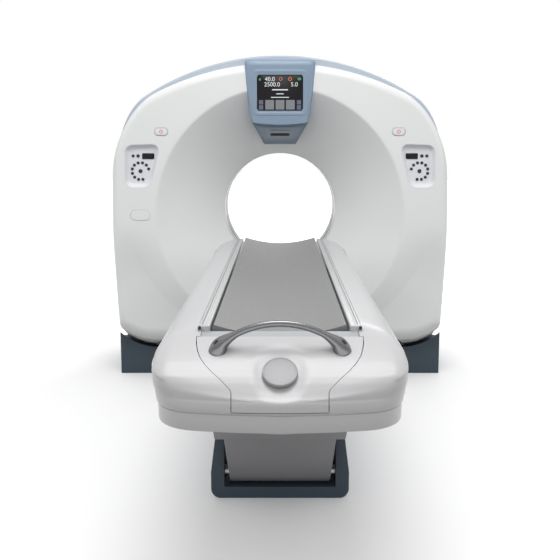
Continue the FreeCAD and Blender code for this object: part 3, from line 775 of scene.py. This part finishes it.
SCREEN_MIDDLE = (0, 0.6985)
screen_hole = solid_from(plug(rectangle_inside(0.134, 0.1025, 0.006), SCREEN_MIDDLE, 1,
                              [(0, -0.56), (0, -0.514)], 64)(True, True))
finish(carve(housing_part(0.5299, 0.9), [screen_hole]), "display_housing", "gantry", "bezel_blue",
       ["display_bezel"])
slot_cut = solid_from(plug(oval_inside((0.116, 0.016)), (0, 0.462), 1, [(0, -0.46), (0, -0.34)], 128)(True, True))
seam_cut = solid_from(plug(oval_inside((0.15, 0.004)), (0, 0.487), 1, [(0, -0.52), (0, -0.442)], 128)(True, True))
finish(carve(housing_part(0.4, 0.5301), [slot_cut, seam_cut]), "display_chin", "gantry", "chin_blue",
       ["bezel_chin"])
frame_rings = [(-0.030, BEZEL_FRONT + 0.001), (-0.028, BEZEL_FRONT - 0.001), (-0.024, BEZEL_FRONT - 0.002),
               (-0.014, BEZEL_FRONT - 0.002), (-0.004, BEZEL_FRONT + 0.001), (0.0, BEZEL_FRONT + 0.004)]
finish(plug(rectangle_inside(0.1335, 0.102, 0.006), SCREEN_MIDDLE, 1, frame_rings, 128)(False, False),
       "screen_surround", "gantry", "bezel_blue")
slot_back = plug(oval_inside((0.114, 0.014)), (0, 0.462), 1, [(0, -0.385), (0.002, -0.384)], 32)(True, True)
finish(slot_back, "chin_slot_lining", "gantry", "black_plastic")

# %% [markdown]
# A control pod is a shallow tray behind its window. Its wall curves inwards in a cove before it
# meets the floor, which a few rings give. On the floor lie a ring of round membrane keys with one in
# the middle, two more keys above, and a small readout.

# %% Control pods
POD_FLOOR = 0.026 - HALF_DEPTH
tray_rings = [(-0.001, -HALF_DEPTH - 0.0003), (0.001, -HALF_DEPTH - 0.0006),
              (0.0035, -HALF_DEPTH + 0.0006), (0.007, -HALF_DEPTH + 0.005),
              (0.011, -HALF_DEPTH + 0.012), (0.016, -HALF_DEPTH + 0.019),
              (0.022, -HALF_DEPTH + 0.0238), (0.028, POD_FLOOR), (0.034, POD_FLOOR)]
tray = plug(pod_inside, POD_MIDDLE, 1, tray_rings, 72)(False, True)
finish(both_sides(tray), "pod_tray_pair", "gantry", "pod_plastic", ["pod_trays"], 50)


def key(x, z, radius, rise=0.003):
    """A low round key with a soft edge."""
    steps = [(0, 0), (0, -rise * 0.6), (radius * 0.06, -rise * 0.85), (radius * 0.18, -rise)]
    rows = [(inset, POD_FLOOR + back) for inset, back in steps]
    return plug(lambda u, v: radius - math.hypot(u, v), (x, z), 1, rows, 24)(False, True)


KEY_RING = (-0.826, 0.247)
keys = [key(*KEY_RING, 0.012)]
for step in range(10):
    turn = math.radians(15 + 30 * step)
    keys.append(key(KEY_RING[0] + 0.050 * math.cos(turn), KEY_RING[1] + 0.050 * math.sin(turn), 0.009))
keys += [key(-0.867, 0.336, 0.009), key(-0.838, 0.336, 0.010)]
finish(both_sides(together(keys)), "pod_key_set", "gantry", "key_navy", ["pod_keys"], 50)
readout_rings = [(0, POD_FLOOR), (0, POD_FLOOR - 0.003), (0.001, POD_FLOOR - 0.004)]
readout = plug(rectangle_inside(0.036, 0.017, 0.003), (-0.778, 0.335), 1, readout_rings, 48)(False, True)

# %% [markdown]
# A display is black glass with a few lit shapes. The glass has hardly any colour, a low roughness
# and a coat, so what it shows is mostly reflection. Lit shapes are thin pieces just in front of it
# whose colour comes from Emission.

# %% Glass and lit finishes
glass = Paint("screen_glass", 0.42)
glass.shader.inputs["Specular IOR Level"].default_value = 0.22
smear = glass.noise(14, 3)
glass.colour(glass.mix(smear, (0.004, 0.004, 0.005), (0.008, 0.008, 0.010)))
glass.rough(smear * 0.12 + 0.36)
paints["screen_glass"] = glass.material


def lit(name, colour, strength):
    """A lit shape: a dark plastic whose light is dotted like a display's cells."""
    paint = Paint(name, 0.5)
    paint.shader.inputs["Base Color"].default_value = (0.02, 0.02, 0.02, 1)
    cells = (paint.x * 2400).wave() * (paint.z * 2400).wave()
    paint.tree.links.new(paint.mix(cells * 0.12 + 0.85, (0, 0, 0), colour),
                         paint.shader.inputs["Emission Color"])
    paint.shader.inputs["Emission Strength"].default_value = strength
    paints[name] = paint.material


lit("lit_white", (0.9, 0.92, 0.95), 0.95)
lit("lit_grey", (0.34, 0.36, 0.39), 0.6)
lit("lit_orange", (0.9, 0.22, 0.05), 0.8)
lit("lit_green", (0.05, 0.38, 0.14), 0.8)
lit("lit_blue", (0.16, 0.18, 0.30), 0.6)
finish(both_sides(readout), "pod_readouts", "gantry", "screen_glass", ["pod_displays"], 50)
print("display finishes ready")

# %% [markdown]
# What the screen shows is only plain numerals and blank soft keys. Text in Blender is a curve, so it
# is turned into a mesh before it is put in its place. All the shapes of one colour become one piece.

# %% Screen and what it shows
SCREEN_FACE = BEZEL_FRONT + 0.003
pane = plug(rectangle_inside(0.1335, 0.102, 0.005), SCREEN_MIDDLE, 1,
            [(0, SCREEN_FACE + 0.004), (0, SCREEN_FACE + 0.001), (0.001, SCREEN_FACE)], 64)(True, True)
finish(pane, "screen_pane", "gantry", "screen_glass", ["display_screen"], 50)


TILE_DEPTH = 0.0006


def tile(x, z, half_width, half_height):
    """A thin rounded tile on the screen, placed from the screen's middle."""
    bm = bmesh.new()
    bmesh.ops.create_cube(bm, size=2)
    bmesh.ops.scale(bm, vec=(half_width, TILE_DEPTH, half_height), verts=bm.verts[:])
    corners = [e for e in bm.edges if abs(e.verts[0].co.y - e.verts[1].co.y) > TILE_DEPTH]
    bmesh.ops.bevel(bm, geom=corners, offset=min(0.002, half_height * 0.8), segments=3, profile=0.5,
                    affect="EDGES", material=-1)
    spot = at_bore(SCREEN_MIDDLE[0] + x, SCREEN_FACE, SCREEN_MIDDLE[1] + z)
    bmesh.ops.translate(bm, vec=spot, verts=bm.verts[:])
    return bm


def numerals(text, x, z, height, face=SCREEN_FACE, base=None, x_align="LEFT"):
    """Plain numerals as a thin mesh on the screen."""
    middle = base or SCREEN_MIDDLE
    curve = bpy.data.curves.new("numerals", "FONT")
    curve.body = text
    curve.size = height
    curve.extrude = 0.0003
    curve.align_x = x_align
    writing = bpy.data.objects.new("numerals", curve)
    bpy.context.scene.collection.objects.link(writing)
    bm = applied(writing)
    stand = Matrix.Translation(at_bore(middle[0] + x, face - 0.0004, middle[1] + z))
    bmesh.ops.transform(bm, matrix=stand @ Matrix.Rotation(math.pi / 2, 4, "X"), verts=bm.verts[:])
    return bm


white = [numerals("40.0", -0.088, 0.066, 0.034), numerals("2500.0", -0.092, 0.036, 0.034),
         numerals("5.0", 0.062, 0.036, 0.034)]
white += [tile(0.0, 0.017, 0.046, 0.0032), tile(0.0, -0.006, 0.022, 0.0024),
          tile(0.0, -0.026, 0.052, 0.0022)]
finish(together(white), "screen_numerals", "gantry", "lit_white", sharp=50, turn_out=False)
soft_keys = [tile(x, -0.068, 0.0255, 0.027) for x in (-0.060, 0.0, 0.060)]
finish(together(soft_keys), "screen_soft_keys", "gantry", "lit_grey", sharp=50)
small_keys = [tile(x, z, 0.0125, 0.0125) for x in (-0.110, 0.110) for z in (-0.054, -0.083)]
finish(together(small_keys), "screen_small_keys", "gantry", "lit_blue", sharp=50)


def small_ring(x, z, outer, inner):
    rows = [(0, SCREEN_FACE), (0, SCREEN_FACE - 0.0006), (outer - inner, SCREEN_FACE - 0.0006),
            (outer - inner, SCREEN_FACE)]
    return plug(lambda u, v: outer - math.hypot(u, v),
                (SCREEN_MIDDLE[0] + x, SCREEN_MIDDLE[1] + z), 1, rows, 32)(False, False)


finish(together([small_ring(0.004, 0.078, 0.010, 0.0065), small_ring(0.058, 0.078, 0.011, 0.007)]),
       "screen_orange_marks", "gantry", "lit_orange", sharp=50)
finish(together([tile(0.112, 0.078, 0.010, 0.007), tile(-0.116, 0.075, 0.006, 0.006)]),
       "screen_green_marks", "gantry", "lit_green", sharp=50)

# %% [markdown]
# The stop buttons are white ovals with a printed grey outline and a red mark. Prints are easiest as
# masks: the distance from the button's middle, compared with two numbers, gives a ring. The mark is
# plain, a ring with a bar, and has no lettering.

# %% Stop buttons and access plate
print_mix = Paint("button_white", 0.35, coat=0.2)
across = abs(abs(print_mix.x) - BUTTON[0])
up = print_mix.z - (ISO.z + BUTTON[1])
beyond = (across - 0.016).maths("MAXIMUM", across - 0.016, 0.0)
edge_run = (beyond * beyond + up * up).root()
outline = (edge_run > 0.0188) * (edge_run < 0.0208)
spot = (across * across + up * up).root()
mark = (spot > 0.0085) * (spot < 0.0115) + (across < 0.0016) * (abs(up) < 0.0052)
base_shade = print_mix.noise(40)
plain = print_mix.mix(base_shade, (0.76, 0.765, 0.76), (0.80, 0.805, 0.80))
lined = print_mix.mix(outline, plain, (0.36, 0.38, 0.40))
print_mix.colour(print_mix.mix(mark, lined, (0.80, 0.10, 0.10)))
print_mix.bump(print_mix.noise(500), 0.00005)
paints["button_white"] = print_mix.material
button_rings = [(0, -HALF_DEPTH + 0.014), (0, -HALF_DEPTH - 0.001), (0.0012, -HALF_DEPTH - 0.0026),
                (0.003, -HALF_DEPTH - 0.003)]
for side, word in ((-1, "left"), (1, "right")):
    cap = plug(oval_inside(BUTTON_SIZE), BUTTON, side, button_rings, 64)(True, True)
    finish(cap, "stop_cap_" + word, "stop_" + word, "button_white", ["stop_button_" + word], 50)
plate_rings = [(0, -HALF_DEPTH + 0.005), (0, -HALF_DEPTH + 0.001), (0.0008, -HALF_DEPTH + 0.0002),
               (0.0025, -HALF_DEPTH)]
finish(plug(oval_inside(PLATE_SIZE), PLATE, 1, plate_rings, 64)(True, True), "access_cover", "gantry",
       "cover_white", ["access_plate"], 50)

# %% [markdown]
# The table's body is a long moulded shell. Looking down, its foot end is bowed with large rounded
# corners. Going up, the foot slopes back, the shoulders curve in, and a low band runs round the
# bottom behind a fine step. So it is lofted upwards through plan outlines, each given by its height,
# where its nose is and how wide it is. Its underside rises towards the head, to leave room for the
# gantry when it tilts.

# %% Table shell
TABLE_ROWS = [  # height, nose, half width
    (0.6150, -1.855, 0.357), (0.6175, -1.8600, 0.3610), (0.6230, -1.8620, 0.3630),
    (0.6640, -1.8620, 0.3640), (0.6675, -1.8615, 0.3635), (0.6690, -1.8600, 0.3620),
    (0.6705, -1.8600, 0.3622), (0.6720, -1.8635, 0.3655), (0.6750, -1.8645, 0.3668),
    (0.6900, -1.8650, 0.3685), (0.7030, -1.8625, 0.3700), (0.7080, -1.8600, 0.3706),
    (0.7120, -1.8565, 0.3710), (0.7200, -1.8480, 0.3720), (0.7330, -1.8350, 0.3735),
    (0.7500, -1.8190, 0.3752), (0.7660, -1.8020, 0.3765), (0.7820, -1.7810, 0.3770),
    (0.7980, -1.7570, 0.3758), (0.8120, -1.7335, 0.3715), (0.8250, -1.7110, 0.3640),
    (0.8370, -1.6890, 0.3545), (0.8470, -1.6690, 0.3440), (0.8550, -1.6510, 0.3320),
    (0.8615, -1.6350, 0.3170), (0.8670, -1.6210, 0.3000), (0.8715, -1.6090, 0.2830),
    (0.8750, -1.5980, 0.2680), (0.8770, -1.5880, 0.2560)]
HEAD_END = 0.775
PLAN_BOW = 1.25
WALL_TOP, CREASE_BLEND, FINE_STEP = 0.7029, 0.024, 0.0028
FOOT_NOSE = -1.8600
DISH_Y, DISH_DEPTH = -1.786, 0.0070
SHIELD_FOOT = 0.678
PLAN_CENTRE, PLAN_STRETCH = -0.545, (0.38, 1.32)


def underside(y):
    if y < 0.350:
        return 0.615
    return 0.615 + (0.190 * min((y - 0.350) / 0.250, 1) + 0.015 * max((y - 0.600) / 0.175, 0))


def row_at(height):
    """The nose and half width at a height, between the listed rows."""
    for low, high in zip(TABLE_ROWS, TABLE_ROWS[1:]):
        if height <= high[0]:
            share = (height - low[0]) / (high[0] - low[0])
            return tuple(a + (b - a) * share for a, b in zip(low[1:], high[1:]))
    return TABLE_ROWS[-1][1:]


def table_ring(height):
    def outline(turn, level):
        nose, half = row_at(level)
        foot = min(nose, FOOT_NOSE) if level > WALL_TOP else nose
        corner = 0.100 - 0.042 * smooth(level, 0.66, 0.76)

        def inside(x, y):
            front = PLAN_BOW - math.hypot(x, y - foot - PLAN_BOW) if y < foot + 0.6 else 9
            slope = y - nose if level > WALL_TOP else 9
            blend = max(CREASE_BLEND - abs(front - slope), 0) ** 2 / (4 * CREASE_BLEND)
            blend *= smooth(level, WALL_TOP, 0.742)
            side = half - abs(x)
            return min(rounded(front - blend, side, corner), rounded(slope - blend, side, 0.045),
                       rounded(HEAD_END - y, side, 0.055))

        way = (PLAN_STRETCH[0] * math.cos(turn), PLAN_STRETCH[1] * math.sin(turn))
        run = reach(lambda x, y: inside(x, y + PLAN_CENTRE), way, 0)
        return way[0] * run, PLAN_CENTRE + way[1] * run

    def place(turn):
        x, y = outline(turn, height)
        lift = max(height, underside(y))
        if lift > height:
            x, y = outline(turn, lift)
        dish = DISH_DEPTH * (1 - smooth(math.hypot(x, y - DISH_Y), 0.048, 0.090)) if y < -1.6 else 0
        return Vector((x, y + 0.6 * dish, lift - 0.8 * dish))
    return place


def block(low, high):
    """A plain box, only for cutting with."""
    bm = bmesh.new()
    bmesh.ops.create_cube(bm, size=1)
    size = Vector(high) - Vector(low)
    bmesh.ops.scale(bm, vec=size, verts=bm.verts[:])
    bmesh.ops.translate(bm, vec=Vector(low) + size / 2, verts=bm.verts[:])
    return solid_from(bm)


def shield_cutter(gap):
    """The foot shield's outline from above, as a tall block."""
    right = [(0.250, -1.6602 + gap), (0.2475, -1.690), (0.2425, -1.715), (0.2346, -1.738), (0.219, -1.763),
             (0.197, -1.787), (0.1405, -1.832), (0.1370, -1.840), (0.1355, -1.90)]
    right = [(x + gap, y) for x, y in right]
    bm = bmesh.new()
    loop = [bm.verts.new((x, y, SHIELD_FOOT - gap)) for x, y in right]
    loop += [bm.verts.new((-x, y, SHIELD_FOOT - gap)) for x, y in reversed(right)]
    face = bm.faces.new(loop)
    top = bmesh.ops.extrude_face_region(bm, geom=[face])["geom"]
    bmesh.ops.translate(bm, vec=(0, 0, 0.5), verts=[g for g in top if isinstance(g, bmesh.types.BMVert)])
    low_corners = [e for e in bm.edges if all(v.co.z < SHIELD_FOOT + 0.001 and v.co.y < -1.846
                                              and abs(v.co.x) > 0.1 for v in e.verts)
                   and e.verts[0].co.x * e.verts[1].co.x > 0]
    bmesh.ops.bevel(bm, geom=low_corners, offset=0.014, segments=5, profile=0.5, affect="EDGES",
                    material=-1)
    return solid_from(bm)


def table_skin():
    """The shell, with finer rows where the sloping top meets the wall."""
    levels = [row[0] for row in TABLE_ROWS if row[0] <= WALL_TOP + 0.001]
    while levels[-1] < 0.806:
        levels.append(levels[-1] + FINE_STEP)
    levels += [row[0] for row in TABLE_ROWS if row[0] > levels[-1] + 0.002]
    return thicken(skin([table_ring(level) for level in levels], 384, False, True), 0.006)


cuts = [block((-0.240, -1.660, 0.70), (0.240, 0.80, 1.0)), shield_cutter(0.0026)]
cuts += [block((side * 0.2455 - 0.0035, -1.622, 0.8725), (side * 0.2455 + 0.0035, 0.745, 1.0)) for side in (-1, 1)]
# The shell takes the darker table white, whose colour paints in the shade on the table.
finish(carve(table_skin(), cuts), "table_body", "table", "table_white", ["table_cover"], 30)
finish(carve(table_skin(), [shield_cutter(0)], "INTERSECT"), "foot_shield_skin", "table", "table_white",
       ["foot_shield"], 30)

# %% [markdown]
# The blank badge is a turned disc with a raised rim, let into the sloping foot. It is a lathe shape:
# a few points of its section, spun a full turn about its axis.

# %% Badge
def lathe(section, steps=64):
    """A shape spun from (radius, height) points about the Z axis."""
    bm = bmesh.new()
    points = [bm.verts.new((radius, 0, height)) for radius, height in section]
    edges = [bm.edges.new(pair) for pair in zip(points, points[1:])]
    bmesh.ops.spin(bm, geom=points + edges, cent=(0, 0, 0), axis=(0, 0, 1), angle=2 * math.pi,
                   steps=steps, use_merge=True)
    bmesh.ops.remove_doubles(bm, verts=bm.verts[:], dist=0.00001)
    return bm


badge = lathe([(0, 0.0035), (0.0450, 0.0035), (0.0458, 0.0038), (0.0466, 0.0048), (0.0475, 0.0052),
               (0.0492, 0.0052), (0.0504, 0.0046), (0.0511, 0.0032), (0.0512, -0.004)])
badge_low, badge_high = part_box("foot_badge")
tilt = Matrix.Translation((badge_low + badge_high) / 2) @ Matrix.Rotation(math.radians(37), 4, "X")
bmesh.ops.transform(badge, matrix=tilt, verts=badge.verts[:])
finish(badge, "blank_badge", "table", "badge_metal", ["foot_badge"], 40)

# %% [markdown]
# The grab handle is an arch that swells into two feet. A ring of points is carried along the arch
# and resized on the way, which is a loft along a path. The path runs on downwards at each end, into
# the shield.

# %% Grab handle
ARCH = Vector((0, -1.716, 0.624))
ARCH_RADIUS, ARCH_END = 0.279, math.radians(37)


def arch_point(share):
    """The middle of the tube, for share from -1 to 1: an arc, then a short run down."""
    side = math.copysign(1, share)
    along = abs(share)
    if along <= 0.8:
        turn = ARCH_END * along / 0.8
        return ARCH + Vector((side * ARCH_RADIUS * math.sin(turn), 0, ARCH_RADIUS * math.cos(turn)))
    run = (along - 0.8) / 0.2
    start = ARCH + Vector((ARCH_RADIUS * math.sin(ARCH_END), 0, ARCH_RADIUS * math.cos(ARCH_END)))
    drop = start + Vector((0.024 * run - 0.006 * run * run, 0.004 * run, -0.018 * run - 0.016 * run * run))
    return Vector((side * drop.x, drop.y, drop.z))


def handle_ring(share):
    centre = arch_point(share)
    way = (arch_point(min(share + 0.01, 1)) - arch_point(max(share - 0.01, -1))).normalized()
    out = way.cross(Vector((0, 1, 0))).normalized()
    flare = smooth(abs(share), 0.55, 1.0)
    thick, deep = 0.0102 + 0.017 * flare, 0.0102 + 0.016 * flare
    return lambda turn: centre + out * thick * math.cos(turn) + Vector((0, 1, 0)) * deep * math.sin(turn)


handle = skin([handle_ring(-1 + 2 * step / 72) for step in range(73)], 32, True, True)
finish(handle, "handle_arch", "table", "handle_metal", ["grab_handle", "handle_feet"], 50)


def handle_slot(side):
    """The dark slot at the top of a foot, as a small rounded plug."""
    bm = bmesh.new()
    bmesh.ops.create_uvsphere(bm, u_segments=24, v_segments=12, radius=1)
    centre = handle_ring(side * 0.86)(-0.7)
    turn = Matrix.Rotation(side * math.radians(48), 4, "Y")
    shape = Matrix.Translation(centre) @ turn
    bmesh.ops.transform(bm, matrix=shape @ Matrix.Diagonal((0.0095, 0.0042, 0.003, 1)), verts=bm.verts[:])
    return bm


finish(together([handle_slot(-1), handle_slot(1)]), "handle_slots", "table", "black_plastic", sharp=60)

# %% [markdown]
# The cradle is a long shallow trough of laminate. A grid is bent to the trough's arc, narrowed and
# rounded at its tip, given a thickness, and its edges are softened. The columns near the tip are
# closer together, because that is where it bends.

# %% Cradle
CRADLE_LOW, CRADLE_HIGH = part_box("cradle")
CRADLE_HALF = CRADLE_HIGH.x
DIP, CRADLE_WALL, TIP_ROUND = 0.034, 0.020, 0.022


def on_cradle(u, v):
    if v < 0.6:
        y = CRADLE_LOW.y + (v + 1) / 1.6 * (CRADLE_HIGH.y - TIP_ROUND - CRADLE_LOW.y)
    else:
        y = CRADLE_HIGH.y - TIP_ROUND * (1 - math.sin((v - 0.6) / 0.4 * math.pi / 2))
    over = max(y - (CRADLE_HIGH.y - TIP_ROUND), 0)
    near = max(CRADLE_LOW.y + 0.012 - y, 0)
    half = CRADLE_HALF - 0.001
    half -= TIP_ROUND - math.sqrt(TIP_ROUND ** 2 - min(over, TIP_ROUND) ** 2)
    rise = CRADLE_HIGH.z - DIP * (1 - (u * half / CRADLE_HALF) ** 2)
    return Vector((u * half, y + near, rise))


pallet = thicken(sheet_of(36, 60, on_cradle), CRADLE_WALL)
finish(soften(pallet, 0.003, 3, 60), "cradle_pallet", "cradle", "cradle_grey", ["cradle"], 40)

# %% [markdown]
# Beside the cradle run two rails of pale anodised metal. A rail is drawn lengthwise through rounded
# sections, with a shallow channel along its middle, and pinched at its ends. A dark end stop sits at
# the foot end of each.

# %% Side rails and end stops
strip_low, strip_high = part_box("side_strips")
RAIL_MIDDLE = (0.213 + 0.240) / 2
RAIL_HALF = (0.240 - 0.213) / 2 - 0.0008


def rail_ring(y, inset):
    middle_z = (strip_low.z + strip_high.z) / 2
    half_height = (strip_high.z - strip_low.z) / 2

    def place(turn):
        way = (math.cos(turn), math.sin(turn))
        run = reach(lambda x, z: rounded(RAIL_HALF - abs(x), half_height - abs(z), 0.005), way, inset, 0.1)
        x, z = way[0] * run, way[1] * run
        if z > half_height * 0.7:
            z -= 0.0016 * (1 - smooth(abs(x - 0.004), 0.0012, 0.0026))
        return Vector((RAIL_MIDDLE + x, y, middle_z + z))
    return place


rail_ends = [(strip_low.y, 0.002), (strip_low.y + 0.001, 0.0006), (strip_low.y + 0.003, 0),
             (strip_high.y - 0.003, 0), (strip_high.y, 0.002)]
rail = skin([rail_ring(*end) for end in rail_ends], 96, True, True)
finish(both_sides(rail), "cradle_side_rails", "table", "strip_grey", ["side_strips"], 40)
stop = skin([lambda turn, y=y, r=r: Vector((0.2455 + r * math.cos(turn), y, 0.8715 + r * math.sin(turn)))
             for y, r in ((-1.636, 0.001), (-1.635, 0.0042), (-1.624, 0.0050), (-1.618, 0.004))], 24, True, True)
finish(both_sides(stop), "rail_end_stops", "table", "black_plastic", sharp=50)

# %% [markdown]
# Between the shield and the end of the cradle a pale blue strip slopes up from the shield's edge.
# It is a box whose back is lifted, with softened corners.

# %% Strip behind the shield
end_low, end_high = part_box("end_recess")
strip = bmesh.new()
bmesh.ops.create_cube(strip, size=1)
bmesh.ops.scale(strip, vec=(0.477, end_high.y - end_low.y - 0.001, 0.014), verts=strip.verts[:])
bmesh.ops.translate(strip, vec=(0, (end_low.y + end_high.y) / 2, 0.8390), verts=strip.verts[:])
for point in strip.verts:
    if point.co.y > (end_low.y + end_high.y) / 2:
        point.co.z += 0.015
finish(soften(strip, 0.0015), "foot_end_strip", "table", "recess_blue", ["end_recess"])

# %% [markdown]
# The mechanical parts have the right shape already, but their edges are knife-sharp, which no cast
# or folded part has. A copy of each is merged, its flat areas are joined into whole faces, and its
# edges are rounded a little. The copy then stands for the original.

# %% Softened frame parts
def eased(node, name, body, material, width, sharp=32, pinch=0.8):
    bm = bmesh.new()
    bm.from_mesh(frame["nodes"][node].data)
    bmesh.ops.remove_doubles(bm, verts=bm.verts[:], dist=0.00005)
    bmesh.ops.dissolve_limit(bm, angle_limit=math.radians(pinch), verts=bm.verts[:], edges=bm.edges[:])
    return finish(soften(bm, width, 3, 40), name, body, material, [node], sharp, 0.00001)


eased("gantry_base", "gantry_plinth", "base", "navy_paint", 0.006)
eased("table_base", "table_foot_frame", "base", "navy_paint", 0.005)
eased("stand_left", "stand_post_left", "base", "frame_paint", 0.003)
eased("stand_right", "stand_post_right", "base", "frame_paint", 0.003)
eased("cable_duct", "floor_duct", "base", "black_plastic", 0.006)
eased("lift_gearmotor", "lift_drive", "base", "motor_iron", 0.004)
eased("front_leg", "lift_leg", "front_leg", "leg_grey", 0.003)
eased("leg_sleeve", "lift_leg_sleeve", "front_leg", "leg_grey", 0.004)
eased("rear_arm_left", "rear_link_left", "rear_legs", "leg_grey", 0.002)
eased("rear_arm_right", "rear_link_right", "rear_legs", "leg_grey", 0.002)
eased("table_frame", "deck_frame", "table", "frame_paint", 0.002)

# %% [markdown]
# Every other part keeps its shape and takes the procedural finish of its slot in the record. An
# object's material slot is set, so its mesh stays as it was.

# %% Finishes on the remaining parts
for part in frame["record"]["subparts"]:
    thing = frame["nodes"][part["node"]]
    for place in thing.material_slots:
        place.link = "OBJECT"
        place.material = paints[part["material_slot"]]

# %% [markdown]
# The floor is a large pale sheet with a faint unevenness, so that the base has something to stand on
# and to shade. It glows more with distance, so that it runs into the white sky with no horizon, and
# it is hidden from diffuse rays, so that this glow doesn't light the machine from below. It isn't
# part of the object.

# %% Floor
floor_paint = Paint("pale_floor", 0.7)
floor_paint.colour(floor_paint.mix(floor_paint.noise(1.5), (0.80, 0.80, 0.80), (0.83, 0.83, 0.83)))
far_off = ((floor_paint.x * floor_paint.x + floor_paint.y * floor_paint.y).root() - 1.6) / 3.0
glow = floor_paint.mix(far_off, (0.14, 0.14, 0.14), (1.0, 1.0, 1.0))
floor_paint.tree.links.new(glow, floor_paint.shader.inputs["Emission Color"])
floor_paint.shader.inputs["Emission Strength"].default_value = 0.9
floor = bmesh.new()
bmesh.ops.create_grid(floor, x_segments=2, y_segments=2, size=30)
bmesh.ops.translate(floor, vec=(0, 0, -0.0005), verts=floor.verts[:])
floor_mesh = bpy.data.meshes.new("floor")
floor.to_mesh(floor_mesh)
floor.free()
floor_thing = bpy.data.objects.new("floor", floor_mesh)
bpy.context.scene.collection.objects.link(floor_thing)
floor_mesh.materials.append(floor_paint.material)
floor_thing.visible_diffuse = False
print("floor laid")
